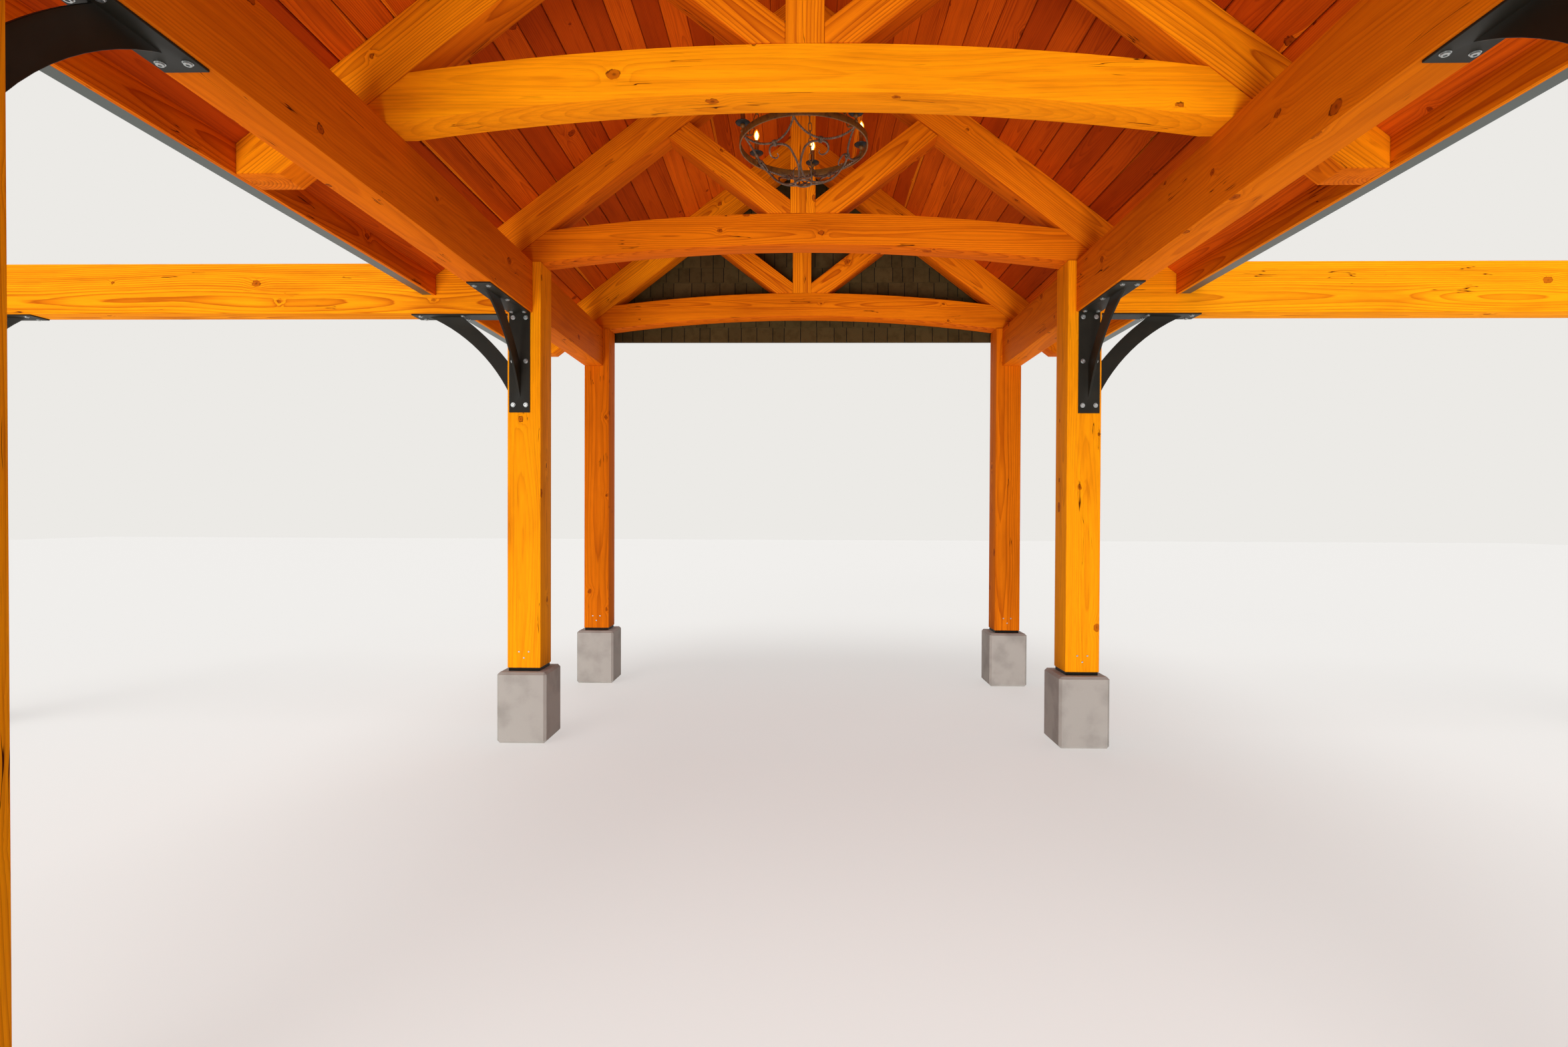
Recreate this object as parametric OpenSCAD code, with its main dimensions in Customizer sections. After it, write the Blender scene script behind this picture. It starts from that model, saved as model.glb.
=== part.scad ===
// Gabled timber porch canopy: posts and beams, four king-post trusses with arched tie
// beams, a boarded roof with gutters, steel knee braces and one beam bay at each side.
// Millimetres. X is across the entrance, +Y runs to the house wall, Z is up from the ground.
// The origin is on the ground, under the middle of the whole canopy.

/* [Plan] */
// Distance between the centre lines of the left and right posts
post_gauge = 3380; // [2900:10:4000]
// Distance from one truss to the next, centre to centre
truss_spacing = 1676; // [1500:2:1900]
// Distance from the rear truss to the house wall
wall_setback = 230; // [180:5:400]
// Distance from the front truss to the front edge of the roof
front_reach = 420; // [250:10:600]
// Distance from a middle post to the end post of its side bay, centre to centre
side_bay = 3810; // [2600:10:4400]

/* [Heights] */
// Height of the porch floor above the ground
floor_height = 430; // [150:10:700]
// Height of the beams' underside above the porch floor
headroom = 2185; // [1950:5:2600]

/* [Timber sections] */
// Side of the square posts
post_side = 203; // [180:1:250]
// Thickness of beams, tie beams, webs, rafters and king posts
timber_t = 152; // [120:1:175]
// Depth of the main and side beams
beam_depth = 305; // [200:5:360]
// Depth of the arched tie beams
tie_depth = 190; // [140:5:240]
// Rise of a tie beam's arched underside above its bearings
tie_rise = 107; // [40:1:200]
// Depth of the rafters, square to the slope
rafter_depth = 203; // [150:1:240]
// Depth of the web struts, square to their length
web_depth = 150; // [100:5:180]
// Height on the king post at which a web's upper edge starts, above the tie beam
web_seat = 82; // [40:1:120]

/* [Roof] */
// Slope of the roof in degrees
pitch = 37.5; // [30:0.5:45]
// Height of the rafters' underside above the outer edge of the beams' top
heel = 12; // [0:1:40]
// Distance from the post centre line out to the rafter tails' plumb cuts
eave_reach = 550; // [420:5:700]
// Height of the plumb cut on a rafter tail
tail_face = 121; // [90:1:150]
// Thickness of the ceiling boards on the rafters
deck_t = 38; // [25:1:50]
// Thickness of the roof covering on the boards
covering_t = 25; // [12:1:40]
// Thickness of the fascia boards, which end flush with the tails' level cuts
fascia_t = 20; // [16:1:40]
// Thickness of the barge boards on the front gable
barge_t = 38; // [19:1:50]
// Depth of the barge boards, measured plumb
barge_depth = 235; // [180:5:300]
// How far the roof covering stands past the fascia and barge boards
drip = 20; // [10:1:40]
// Reach of the ridge cap down each slope
ridge_cap_reach = 150; // [100:5:200]
// Thickness of the shingled gable infill
infill_t = 60; // [30:1:100]
// Height from the infill's bottom edge up to the beams' top
infill_drop = 45; // [20:1:120]

/* [Gutters] */
// Width of the gutter's flat bottom
gutter_bottom_w = 64; // [50:1:80]
// Width of the gutter at its top
gutter_top_w = 118; // [95:1:150]
// Height of the gutter
gutter_h = 100; // [80:1:105]
// Height of the gutter's bottom above the fascia's lower edge
gutter_lift = 4; // [0:1:10]
// Wall thickness of the gutter
gutter_t = 3; // [2:0.5:5]

/* [Knee braces] */
// Length of a brace's plate along the post and along the beam
brace_plate_l = 610; // [540:5:700]
// Width of a brace's plates
brace_plate_w = 127; // [90:1:140]
// Thickness of a brace's plates
brace_plate_t = 8; // [5:1:12]
// Thickness of a brace's curved arm
brace_arm_t = 12; // [8:1:20]
// Distance from the corner to the near edge of the arm
brace_arm_near = 328; // [260:1:380]
// Distance from the corner to the far edge of the arm
brace_arm_far = 536; // [470:1:540]

/* [Feet] */
// Thickness of the steel plate under a post
shoe_t = 20; // [8:1:30]
// How far a post's steel plate is set in from the post's faces
shoe_inset = 6; // [2:1:20]
// Side of the square concrete piers
pier_side = 300; // [270:5:400]

/* [Chandelier] */
// Diameter of the chandelier's hoop, outside
hoop_d = 650; // [500:5:800]
// Height of the hoop's middle above the porch floor
hoop_height = 2831; // [2760:1:3000]
// Height of the hoop's flat band
hoop_h = 32; // [20:1:50]
// Thickness of the hoop's flat band
hoop_t = 7; // [4:1:10]
// Depth of the scrolled basket from the hoop's middle to its lowest ring
basket_drop = 192; // [120:1:220]
// Diameter of the basket's round bars
scroll_bar_d = 11; // [8:1:14]
// Diameter of the basket's lowest ring
basket_ring_d = 92; // [70:2:120]
// Number of candles, two to each hanging chain and half to each pair of scrolls
candle_count = 6; // [4:2:8]
// Height of the drip pans above the hoop's middle
pan_rise = 46; // [36:1:80]
// Diameter of the drip pans
pan_d = 74; // [50:1:80]
// Height of a candle sleeve above its pan
candle_h = 72; // [50:1:100]
// Diameter of a candle sleeve
candle_d = 24; // [18:1:30]
// Diameter of a flame bulb
bulb_d = 30; // [24:1:36]
// Height of a flame bulb
bulb_h = 60; // [45:1:75]
// Height of the hub above the hoop's middle, where the hanging chains meet
hub_rise = 820; // [600:10:900]
// How far the hooks of the hanging chains reach in from the hoop
hook_reach = 36; // [30:1:50]
// Thickness of the chains' wire
chain_wire = 5; // [4:0.5:6]
// Outside width of the chains' links
link_w = 23; // [20:0.5:30]
// Distance from one link of a chain to the next, rounded to fit its length
link_pitch = 38; // [30:1:50]

/* [Hidden] */
$fn = 48;

LEFT = -1;
RIGHT = 1;
TRUSSES = [0, 1, 2, 3];
FRONT = TRUSSES[0];
MIDDLE = TRUSSES[2];
REAR = TRUSSES[3];

timber_colour = "#d9761c";
deck_colour = "#8a3a0c";
steel_colour = "#20262a";
concrete_colour = "#8c8880";
roof_colour = "#3a3835";
gutter_colour = "#2a302c";
shingle_colour = "#33281a";
iron_colour = "#5a4430";
candle_colour = "#b98a4a";
bulb_colour = "#ffd890";

depth = front_reach + REAR * truss_spacing + wall_setback;
wall_y = depth / 2;
front_y = -depth / 2;
function truss_y(i) = front_y + front_reach + i * truss_spacing;

post_x = post_gauge / 2;
outer_x = post_x + post_side / 2;
inner_x = post_x - post_side / 2;
beam_x = outer_x - timber_t / 2;
end_x = post_x + side_bay;
tongue_t = post_side - timber_t;
beam_z = floor_height + headroom;
beam_top = beam_z + beam_depth;
tie_top = beam_top + tie_rise + tie_depth;

slope = tan(pitch);
eave_x = post_x + eave_reach;
king_x = timber_t / 2;
function plumb(thickness) = thickness / cos(pitch);
function rafter_under(x) = beam_top + heel + (outer_x - x) * slope;
function rafter_top(x) = rafter_under(x) + plumb(rafter_depth);
function deck_top(x) = rafter_top(x) + plumb(deck_t);
function covering_top(x) = deck_top(x) + plumb(covering_t);
function x_where(height_at_ridge, z) = (height_at_ridge - z) / slope;

tie_r = (inner_x * inner_x + tie_rise * tie_rise) / (2 * tie_rise);
tie_top_r = tie_r + tie_depth;
tie_centre_z = beam_top + tie_rise - tie_r;
arch_steps = 12;
tail_z = rafter_top(eave_x) - tail_face;
deck_front = front_y + drip + barge_t;
side_beam_y = truss_y(MIDDLE);
notch_gap = 3;
mitre_gap = 0.4;
cap_t = 10;
near_bulge = 19;
far_bulge = 75;

// Joinery helpers: a plate drawn in elevation (x, z), and both hands of a shape.
module plate(y, t) {
    translate([0, y + t / 2, 0]) rotate([90, 0, 0]) linear_extrude(t) children();
}

module hand(side) {
    mirror([side == LEFT ? 1 : 0, 0, 0]) children();
}

module both_hands() {
    for (side = [LEFT, RIGHT]) hand(side) children();
}

// Posts
module notched_post(side, i, foot_z) {
    z0 = foot_z + shoe_t;
    color(timber_colour) hand(side) plate(truss_y(i), post_side) polygon([
        [inner_x, z0], [outer_x, z0], [outer_x, beam_z], [inner_x + tongue_t, beam_z],
        [inner_x + tongue_t, beam_top], [inner_x, beam_top]
    ]);
}

module end_post(side) {
    z0 = floor_height + shoe_t;
    color(timber_colour) hand(side)
        translate([end_x - post_side / 2, side_beam_y - post_side / 2, z0])
            cube([post_side, post_side, beam_z - z0]);
}

module foot(x, y, z, side, t) {
    translate([x - side / 2, y - side / 2, z]) cube([side, side, t]);
}

module post_shoes() {
    side = post_side - 2 * shoe_inset;
    color(steel_colour) both_hands() {
        foot(post_x, truss_y(FRONT), 0, side, shoe_t);
        foot(post_x, truss_y(MIDDLE), floor_height, side, shoe_t);
        foot(post_x, truss_y(REAR), floor_height, side, shoe_t);
        foot(end_x, side_beam_y, floor_height, side, shoe_t);
    }
}

module piers() {
    color(concrete_colour) both_hands() {
        foot(post_x, truss_y(MIDDLE), 0, pier_side, floor_height);
        foot(post_x, truss_y(REAR), 0, pier_side, floor_height);
        foot(end_x, side_beam_y, 0, pier_side, floor_height);
    }
}

// Beams
module main_beam(side) {
    y0 = truss_y(FRONT) - post_side / 2;
    color(timber_colour) hand(side)
        translate([outer_x - timber_t, y0, beam_z]) cube([timber_t, wall_y - y0, beam_depth]);
}

module side_beam(side) {
    color(timber_colour) hand(side)
        translate([outer_x, side_beam_y - timber_t / 2, beam_z])
            cube([end_x + post_side / 2 - outer_x, timber_t, beam_depth]);
}

// Trusses
function arch_z(r, x) = tie_centre_z + sqrt(r * r - x * x);
function arch_points(r, half) =
    [for (k = [-arch_steps:arch_steps]) let(x = half * k / arch_steps) [x, arch_z(r, x)]];
function reversed(p) = [for (k = [len(p) - 1:-1:0]) p[k]];

// Where the arched top of a tie beam meets the rafters' underside
tie_head = let(h = rafter_under(0) - tie_centre_z, q = 1 + slope * slope)
    (slope * h - sqrt(slope * slope * h * h - q * (h * h - tie_top_r * tie_top_r))) / q;
tie_back = arch_points(tie_top_r, tie_head);

module tie_beam(i) {
    color(timber_colour) plate(truss_y(i), timber_t) polygon(concat(
        tie_back, [[outer_x, beam_top + heel], [outer_x, beam_top]],
        reversed(arch_points(tie_r, inner_x)), [[-outer_x, beam_top], [-outer_x, beam_top + heel]]
    ));
}

module above_tie_beam() {
    difference() {
        children();
        polygon(concat(tie_back, [[outer_x, beam_z], [-outer_x, beam_z]]));
    }
}

module king_post(i) {
    color(timber_colour) plate(truss_y(i), timber_t) above_tie_beam() polygon([
        [-king_x, beam_top], [king_x, beam_top], [king_x, rafter_top(king_x)],
        [0, rafter_top(0)], [-king_x, rafter_top(king_x)]
    ]);
}

module web(i) {
    upper_z = tie_top + web_seat - king_x * slope;
    lower_z = upper_z - plumb(web_depth);
    color(timber_colour) plate(truss_y(i), timber_t) above_tie_beam() intersection() {
        polygon([[0, lower_z], [outer_x, lower_z + outer_x * slope],
                 [outer_x, upper_z + outer_x * slope], [0, upper_z]]);
        polygon([[king_x, beam_top], [outer_x, beam_top], [king_x, rafter_under(king_x)]]);
    }
}

// A rafter ends in a tail with a level and a plumb cut, or is seated on the side beam.
module rafter(i) {
    tail = [[eave_x, rafter_top(eave_x)], [eave_x, tail_z], [x_where(rafter_under(0), tail_z), tail_z]];
    seat = [[x_where(rafter_top(0), beam_top), beam_top], [x_where(rafter_under(0), beam_top), beam_top]];
    color(timber_colour) plate(truss_y(i), timber_t) polygon(concat(
        [[king_x, rafter_under(king_x)], [king_x, rafter_top(king_x)]],
        i == MIDDLE ? seat : tail
    ));
}

module rafters(i) {
    both_hands() rafter(i);
}

// Roof
// A layer of the roof on one slope, given by its bottom and top heights at the ridge line.
// It is notched round the side beam where the eave comes down past the beam's top.
module roof_layer(y0, edge_x, bottom_z, top_z) {
    notch_x = x_where(bottom_z, beam_top);
    difference() {
        translate([0, wall_y, 0]) rotate([90, 0, 0]) linear_extrude(wall_y - y0) polygon([
            [0, bottom_z], [edge_x, bottom_z - edge_x * slope],
            [edge_x, top_z - edge_x * slope], [0, top_z]
        ]);
        translate([notch_x, side_beam_y - timber_t / 2 - notch_gap, beam_z])
            cube([edge_x, timber_t + 2 * notch_gap, 2 * beam_depth]);
    }
}

module ceiling(side) {
    color(deck_colour) hand(side)
        roof_layer(deck_front, eave_x + fascia_t, rafter_top(0), deck_top(0));
}

module roof_covering(side) {
    color(roof_colour) hand(side)
        roof_layer(front_y, eave_x + fascia_t + drip, deck_top(0), covering_top(0));
}

module ridge_cap() {
    x = ridge_cap_reach * cos(pitch);
    color(roof_colour) translate([0, wall_y, 0]) rotate([90, 0, 0]) linear_extrude(depth) polygon([
        [0, covering_top(0)], [x, covering_top(x)], [x, covering_top(x) + cap_t],
        [0, covering_top(0) + plumb(cap_t)], [-x, covering_top(x) + cap_t], [-x, covering_top(x)]
    ]);
}

// The eave runs in two lengths, in front of the side beam and behind it.
module eave_lengths(y0, y1) {
    beam_front = side_beam_y - timber_t / 2 - notch_gap;
    beam_back = side_beam_y + timber_t / 2 + notch_gap;
    for (run = [[y0, beam_front], [beam_back, y1]])
        translate([0, run[1], 0]) rotate([90, 0, 0]) linear_extrude(run[1] - run[0]) children();
}

module fascia(side) {
    x1 = eave_x + fascia_t;
    color(timber_colour) hand(side) eave_lengths(deck_front, wall_y)
        polygon([[eave_x, tail_z], [x1, tail_z], [x1, rafter_top(x1)], [eave_x, rafter_top(eave_x)]]);
}

module barge_boards() {
    x1 = eave_x + fascia_t;
    color(timber_colour) both_hands() plate(deck_front - barge_t / 2, barge_t) polygon([
        [mitre_gap, deck_top(mitre_gap) - barge_depth], [x1, deck_top(x1) - barge_depth],
        [x1, deck_top(x1)], [mitre_gap, deck_top(mitre_gap)]
    ]);
}

module gable_infill() {
    low = beam_top - infill_drop;
    face_x = outer_x - timber_t;
    color(shingle_colour) plate(wall_y - infill_t / 2, infill_t) polygon([
        [-face_x, low], [face_x, low], [face_x, beam_top], [outer_x, beam_top],
        [outer_x, rafter_top(outer_x)], [0, rafter_top(0)], [-outer_x, rafter_top(outer_x)],
        [-outer_x, beam_top], [-face_x, beam_top]
    ]);
}

// Gutters: the outline from the top of the back, along the bottom and up the ogee front.
ogee = gutter_top_w - gutter_bottom_w;
gutter_outline = [
    [0, gutter_h], [0, 0], [gutter_bottom_w, 0], [gutter_bottom_w + 0.06 * ogee, 0.18 * gutter_h],
    [gutter_bottom_w + 0.2 * ogee, 0.34 * gutter_h], [gutter_bottom_w + 0.45 * ogee, 0.46 * gutter_h],
    [gutter_bottom_w + 0.75 * ogee, 0.56 * gutter_h], [gutter_bottom_w + 0.92 * ogee, 0.68 * gutter_h],
    [gutter_top_w, 0.84 * gutter_h], [gutter_top_w, gutter_h]
];
function unit(v) = v / norm(v);
function left_of(v) = [-v[1], v[0]];
// A point of an open outline, moved inwards by t where its two sides meet in a mitre
function inset_point(p, i, t) = let(
    before = unit(p[max(i, 1)] - p[max(i, 1) - 1]),
    after = unit(p[min(i + 1, len(p) - 1)] - p[min(i + 1, len(p) - 1) - 1]),
    middle = unit(left_of(before) + left_of(after))
) p[i] + middle * t / (middle * left_of(before));
function inset_outline(p, t) = [for (i = [len(p) - 1:-1:0]) inset_point(p, i, t)];

module gutter(side) {
    x0 = eave_x + fascia_t;
    z0 = tail_z + gutter_lift;
    wall = concat(gutter_outline, inset_outline(gutter_outline, gutter_t));
    ends = [[front_y + drip, 0], [side_beam_y - timber_t / 2 - notch_gap, -1],
            [side_beam_y + timber_t / 2 + notch_gap, 0], [wall_y, -1]];
    color(gutter_colour) hand(side) {
        eave_lengths(front_y + drip, wall_y) translate([x0, z0]) polygon(wall);
        for (cap = ends)
            translate([x0, cap[0] + (cap[1] + 1) * gutter_t, z0])
                rotate([90, 0, 0]) linear_extrude(gutter_t) polygon(gutter_outline);
    }
}

// Knee braces
// Points on the arc from a to b that bulges to the left of that direction
function arc_points(a, b, bulge, n) = let(
    half = norm(b - a) / 2,
    r = (half * half + bulge * bulge) / (2 * bulge),
    along = unit(b - a),
    out = left_of(along),
    centre = (a + b) / 2 - out * (r - bulge),
    turn = asin(half / r)
) [for (k = [0:n]) let(t = -turn + 2 * turn * k / n) centre + r * (along * sin(t) + out * cos(t))];

// The corner is the origin: one plate runs down the post, the other out along the beam.
module knee_brace() {
    arm_steps = 14;
    near_edge = arc_points([0, -brace_arm_near], [brace_arm_near, 0], near_bulge, arm_steps);
    far_edge = arc_points([0, -brace_arm_far], [brace_arm_far, 0], far_bulge, arm_steps);
    color(steel_colour) {
        translate([0, -brace_plate_w / 2, -brace_plate_l])
            cube([brace_plate_t, brace_plate_w, brace_plate_l]);
        translate([0, -brace_plate_w / 2, -brace_plate_t])
            cube([brace_plate_l, brace_plate_w, brace_plate_t]);
        plate(0, brace_arm_t) polygon(concat(near_edge, reversed(far_edge)));
    }
}

module knee_braces_front() {
    both_hands() translate([beam_x, truss_y(FRONT) + post_side / 2, beam_z])
        rotate(90) knee_brace();
}

module knee_braces_middle() {
    both_hands() translate([beam_x, truss_y(MIDDLE) - post_side / 2, beam_z])
        rotate(-90) knee_brace();
}

module knee_braces_side() {
    both_hands() translate([outer_x, side_beam_y, beam_z]) knee_brace();
}

module knee_braces_end() {
    both_hands() translate([end_x - post_side / 2, side_beam_y, beam_z])
        rotate(180) knee_brace();
}

// Chandelier
hoop_y = (truss_y(1) + truss_y(2)) / 2;
hoop_z = floor_height + hoop_height;
hoop_r = hoop_d / 2 - hoop_t / 2;
first_candle = -99;
half_turn = 180 / candle_count;
seat_gap = 0.3;

module at_hoop() {
    translate([0, hoop_y, hoop_z]) children();
}

module each_candle() {
    for (k = [0:candle_count - 1]) rotate(first_candle + 2 * k * half_turn) children();
}

// Scrolls come in mirrored pairs under every second candle, chains rise beside the others.
module each_pair() {
    for (k = [0:2:candle_count - 1]) rotate(first_candle + 2 * k * half_turn) children();
}

module each_hanger() {
    for (k = [1:2:candle_count - 1]) rotate(first_candle + 2 * k * half_turn) children();
}

// Chain links: flat loops with round ends, each turned a quarter from the one before
link_play = 1.2;
function link_count(length) = round(length / link_pitch);
function link_step(length) = (length - 2 * chain_wire - link_play) / link_count(length);

module stadium(length, width) {
    straight = length - width;
    square([width, straight], center = true);
    for (end = [-1, 1]) translate([0, end * straight / 2]) circle(d = width);
}

// Links first to last of a chain that runs up from the origin and is as long as given
module chain_links(length, first, last) {
    step = link_step(length);
    link_l = step + 2 * chain_wire + link_play;
    for (k = [first:last]) translate([0, 0, link_l / 2 + k * step]) rotate(k % 2 * 90)
        plate(0, chain_wire) difference() {
            stadium(link_l, link_w);
            stadium(link_l - 2 * chain_wire, link_w - 2 * chain_wire);
        }
}

// The three hanging chains lean in from hooks inside the hoop to the hub.
hub_d = 52;
hub_h = 10;
weld = 3;
hook_d = 8;
hook_r = hoop_r - hoop_t / 2 - hook_reach;
hanger_run = hook_r - hub_d / 2 + weld;
hanger_l = norm([hanger_run, hub_rise]);
hanger_lean = atan(hanger_run / hub_rise);

module along_hangers() {
    each_hanger() translate([hook_r, 0, 0]) rotate([0, -hanger_lean, 0]) children();
}

rose_d = 120;
rose_z = rafter_top(rose_d / 2);
chain_low = hoop_z + hub_rise + hub_h / 2 - weld;
chain_l = rose_z + weld - chain_low;

// The hoop carries a stem with a cup under each pan, and the hooks with their welded links.
module chandelier_hoop() {
    cup_h = 14;
    color(iron_colour) at_hoop() {
        rotate_extrude($fn = 96) translate([hoop_r - hoop_t / 2, -hoop_h / 2]) square([hoop_t, hoop_h]);
        each_candle() translate([hoop_r, 0, 0]) {
            cylinder(h = pan_rise, d = scroll_bar_d);
            translate([0, 0, pan_rise - cup_h]) cylinder(h = cup_h, d = candle_d);
        }
        each_hanger() translate([hook_r, 0, 0]) rotate([0, 90, 0])
            cylinder(h = hook_reach + weld, d = hook_d);
        along_hangers() chain_links(hanger_l, 0, 0);
    }
}

// The route of one scroll over the bowl of the basket, from its volute past the collar and
// down the arm to the curl at the bottom. Each point is a share of the turn from the pair's
// middle to the collar, of the hoop's radius and of the basket's depth.
scroll_route = [
    [1.07, 0.61, 0.57], [1.07, 0.585, 0.61], [1.17, 0.57, 0.635], [1.33, 0.57, 0.63],
    [1.46, 0.595, 0.59], [1.5, 0.63, 0.53], [1.43, 0.66, 0.45], [1.25, 0.685, 0.4],
    [1, 0.68, 0.4], [0.63, 0.66, 0.44], [0.38, 0.62, 0.52], [0.23, 0.555, 0.66],
    [0.13, 0.48, 0.765], [0.075, 0.4, 0.84], [0.16, 0.295, 0.91], [0.8, 0.14, 0.957],
    [2, 0.165, 0.89], [2.6, 0.2, 0.765], [2.7, 0.15, 0.65]
];
function bowl_point(s) = let(turn = s[0] * half_turn, r = s[1] * hoop_r)
    [r * cos(turn), r * sin(turn), -s[2] * basket_drop];
function curve_at(a, b, c, d, t) =
    b + t / 2 * (c - a + t * (2 * a - 5 * b + 4 * c - d + t * (3 * (b - c) + d - a)));
function smooth(p, n) = let(last = len(p) - 1) concat([
    for (i = [0:last - 1], k = [0:n - 1])
        curve_at(p[max(i - 1, 0)], p[i], p[i + 1], p[min(i + 2, last)], k / n)
], [p[last]]);

// A round bar along the points p, thinner towards its ends
module swept_bar(p, d) {
    sides = bar_sides;
    tip = 0.5;
    taper_rings = 6;
    last = len(p) - 1;
    rings = [for (i = [0:last]) let(
        along = unit(p[min(i + 1, last)] - p[max(i - 1, 0)]),
        across = unit(cross(along, p[i])),
        up = cross(along, across),
        r = d / 2 * min(1, tip + (1 - tip) * min(i, last - i) / taper_rings)
    ) for (k = [0:sides - 1]) let(a = k * 360 / sides) p[i] + r * (across * cos(a) + up * sin(a))];
    skin = [for (i = [0:last - 1], k = [0:sides - 1]) let(
        a = i * sides + k, b = i * sides + (k + 1) % sides
    ) each [[a, a + sides, b + sides], [a, b + sides, b]]];
    start = [for (k = [0:sides - 1]) k];
    end = [for (k = [sides - 1:-1:0]) last * sides + k];
    polyhedron(rings, concat([start], skin, [end]));
}

// The swags hang between the candles, each an arc whose lowest point is at a collar.
swag_low = [0.7 * hoop_r, 0, -0.35 * basket_drop];
scroll_seat = bowl_point([1, 0.68, 0.4]);
swag_end_r = hoop_r - hoop_t / 2 - scroll_bar_d / 2 - seat_gap;
swag_end_z = scroll_bar_d / 2 - hoop_h / 2;
bar_sides = 8;

module swag() {
    half = swag_end_r * sin(half_turn);
    run = swag_end_r * cos(half_turn) - swag_low[0];
    fall = swag_end_z - swag_low[2];
    sag = norm([run, fall]);
    r = (half * half + sag * sag) / (2 * sag);
    reach = 2 * atan(sag / half);
    translate(swag_low) rotate([0, 180 - atan2(fall, run), 0])
        translate([-r, 0, 0]) rotate(-reach) rotate_extrude(angle = 2 * reach, $fn = 48)
            translate([r, 0]) circle(d = scroll_bar_d, $fn = bar_sides);
}

// A strap bent round two bars that pass side by side through a and b, along Y
module collar(a, b) {
    collar_l = 18;
    collar_t = 4;
    hull() for (p = [a, b]) translate(p) rotate([90, 0, 0])
        cylinder(h = collar_l, d = scroll_bar_d + 2 * collar_t, center = true, $fn = 16);
}

module chandelier_scrolls() {
    route = smooth([for (s = scroll_route) bowl_point(s)], 2);
    middle = norm([scroll_seat[0], scroll_seat[1]]);
    color(iron_colour) at_hoop() {
        each_pair() for (flip = [0, 1]) mirror([0, flip, 0]) {
            swept_bar(route, scroll_bar_d);
            rotate(half_turn) {
                swag();
                collar(swag_low, [middle, 0, scroll_seat[2]]);
            }
        }
        each_candle() translate([swag_end_r, 0, swag_end_z]) rotate([90, 0, 90])
            hull() for (x = [-1, 1]) translate([x * scroll_bar_d / 2, 0, 0])
                cylinder(h = scroll_bar_d, d = scroll_bar_d, center = true, $fn = 16);
        translate([0, 0, -basket_drop]) rotate_extrude($fn = 32)
            translate([(basket_ring_d - scroll_bar_d) / 2, 0]) circle(d = scroll_bar_d, $fn = bar_sides);
    }
}

pan_t = 3;
pan_lip = 8;

module chandelier_pans() {
    color(iron_colour) at_hoop() each_candle() translate([hoop_r, 0, pan_rise])
        rotate_extrude() polygon([
            [0, 0], [0.3 * pan_d, 0], [pan_d / 2, pan_lip], [pan_d / 2, pan_lip + pan_t],
            [0.28 * pan_d, pan_t], [0, pan_t]
        ]);
}

module chandelier_candles() {
    color(candle_colour) at_hoop() each_candle() translate([hoop_r, 0, pan_rise + pan_t])
        cylinder(h = candle_h, d = candle_d);
}

// A flame bulb's outline, as shares of its diameter and height
bulb_outline = [[0, 0], [0.27, 0], [0.27, 0.1], [0.47, 0.28], [0.5, 0.45], [0.4, 0.68], [0.17, 0.9], [0, 1]];

module chandelier_bulbs() {
    color(bulb_colour) at_hoop() each_candle()
        translate([hoop_r, 0, pan_rise + pan_t + candle_h])
            rotate_extrude() polygon([for (p = bulb_outline) [p[0] * bulb_d, p[1] * bulb_h]]);
}

// The hub is a turned disc with a drop below it; the end links of its four chains are welded on.
module chandelier_hub() {
    drop_d = 20;
    drop_h = 24;
    cylinder(h = hub_h, d = hub_d, center = true);
    translate([0, 0, -hub_h / 2 - drop_h]) cylinder(h = drop_h, d1 = drop_d / 2, d2 = drop_d);
}

module chandelier_chain() {
    hanger_last = link_count(hanger_l) - 1;
    color(iron_colour) {
        at_hoop() {
            along_hangers() chain_links(hanger_l, 1, hanger_last);
            translate([0, 0, hub_rise]) chandelier_hub();
        }
        translate([0, hoop_y, chain_low]) chain_links(chain_l, 0, link_count(chain_l) - 2);
    }
}

module chandelier_rose() {
    x = rose_d / 2;
    last = link_count(chain_l) - 1;
    color(iron_colour) {
        plate(hoop_y, rose_d) polygon([[-x, rafter_top(x)], [x, rafter_top(x)], [0, rafter_top(0)]]);
        translate([0, hoop_y, chain_low]) chain_links(chain_l, last, last);
    }
}

notched_post(LEFT, FRONT, 0);  // post_front_left
notched_post(RIGHT, FRONT, 0);  // post_front_right
notched_post(LEFT, MIDDLE, floor_height);  // post_middle_left
notched_post(RIGHT, MIDDLE, floor_height);  // post_middle_right
notched_post(LEFT, REAR, floor_height);  // post_rear_left
notched_post(RIGHT, REAR, floor_height);  // post_rear_right
end_post(LEFT);  // post_end_left
end_post(RIGHT);  // post_end_right
post_shoes();
piers();
main_beam(LEFT);  // main_beam_left
main_beam(RIGHT);  // main_beam_right
side_beam(LEFT);  // side_beam_left
side_beam(RIGHT);  // side_beam_right
tie_beam(0);  // tie_beam_1
tie_beam(1);  // tie_beam_2
tie_beam(2);  // tie_beam_3
tie_beam(3);  // tie_beam_4
for (i = TRUSSES) king_post(i);  // king_posts
rafters(0);  // rafters_1
rafters(1);  // rafters_2
rafters(2);  // rafters_3
rafters(3);  // rafters_4
for (i = TRUSSES) both_hands() web(i);  // truss_webs
knee_braces_front();
knee_braces_middle();
knee_braces_side();
knee_braces_end();
ceiling(LEFT);  // ceiling_left
ceiling(RIGHT);  // ceiling_right
fascia(LEFT);  // fascia_left
fascia(RIGHT);  // fascia_right
barge_boards();
gable_infill();
roof_covering(LEFT);  // roof_left
roof_covering(RIGHT);  // roof_right
ridge_cap();
gutter(LEFT);  // gutter_left
gutter(RIGHT);  // gutter_right
chandelier_hoop();
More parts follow.
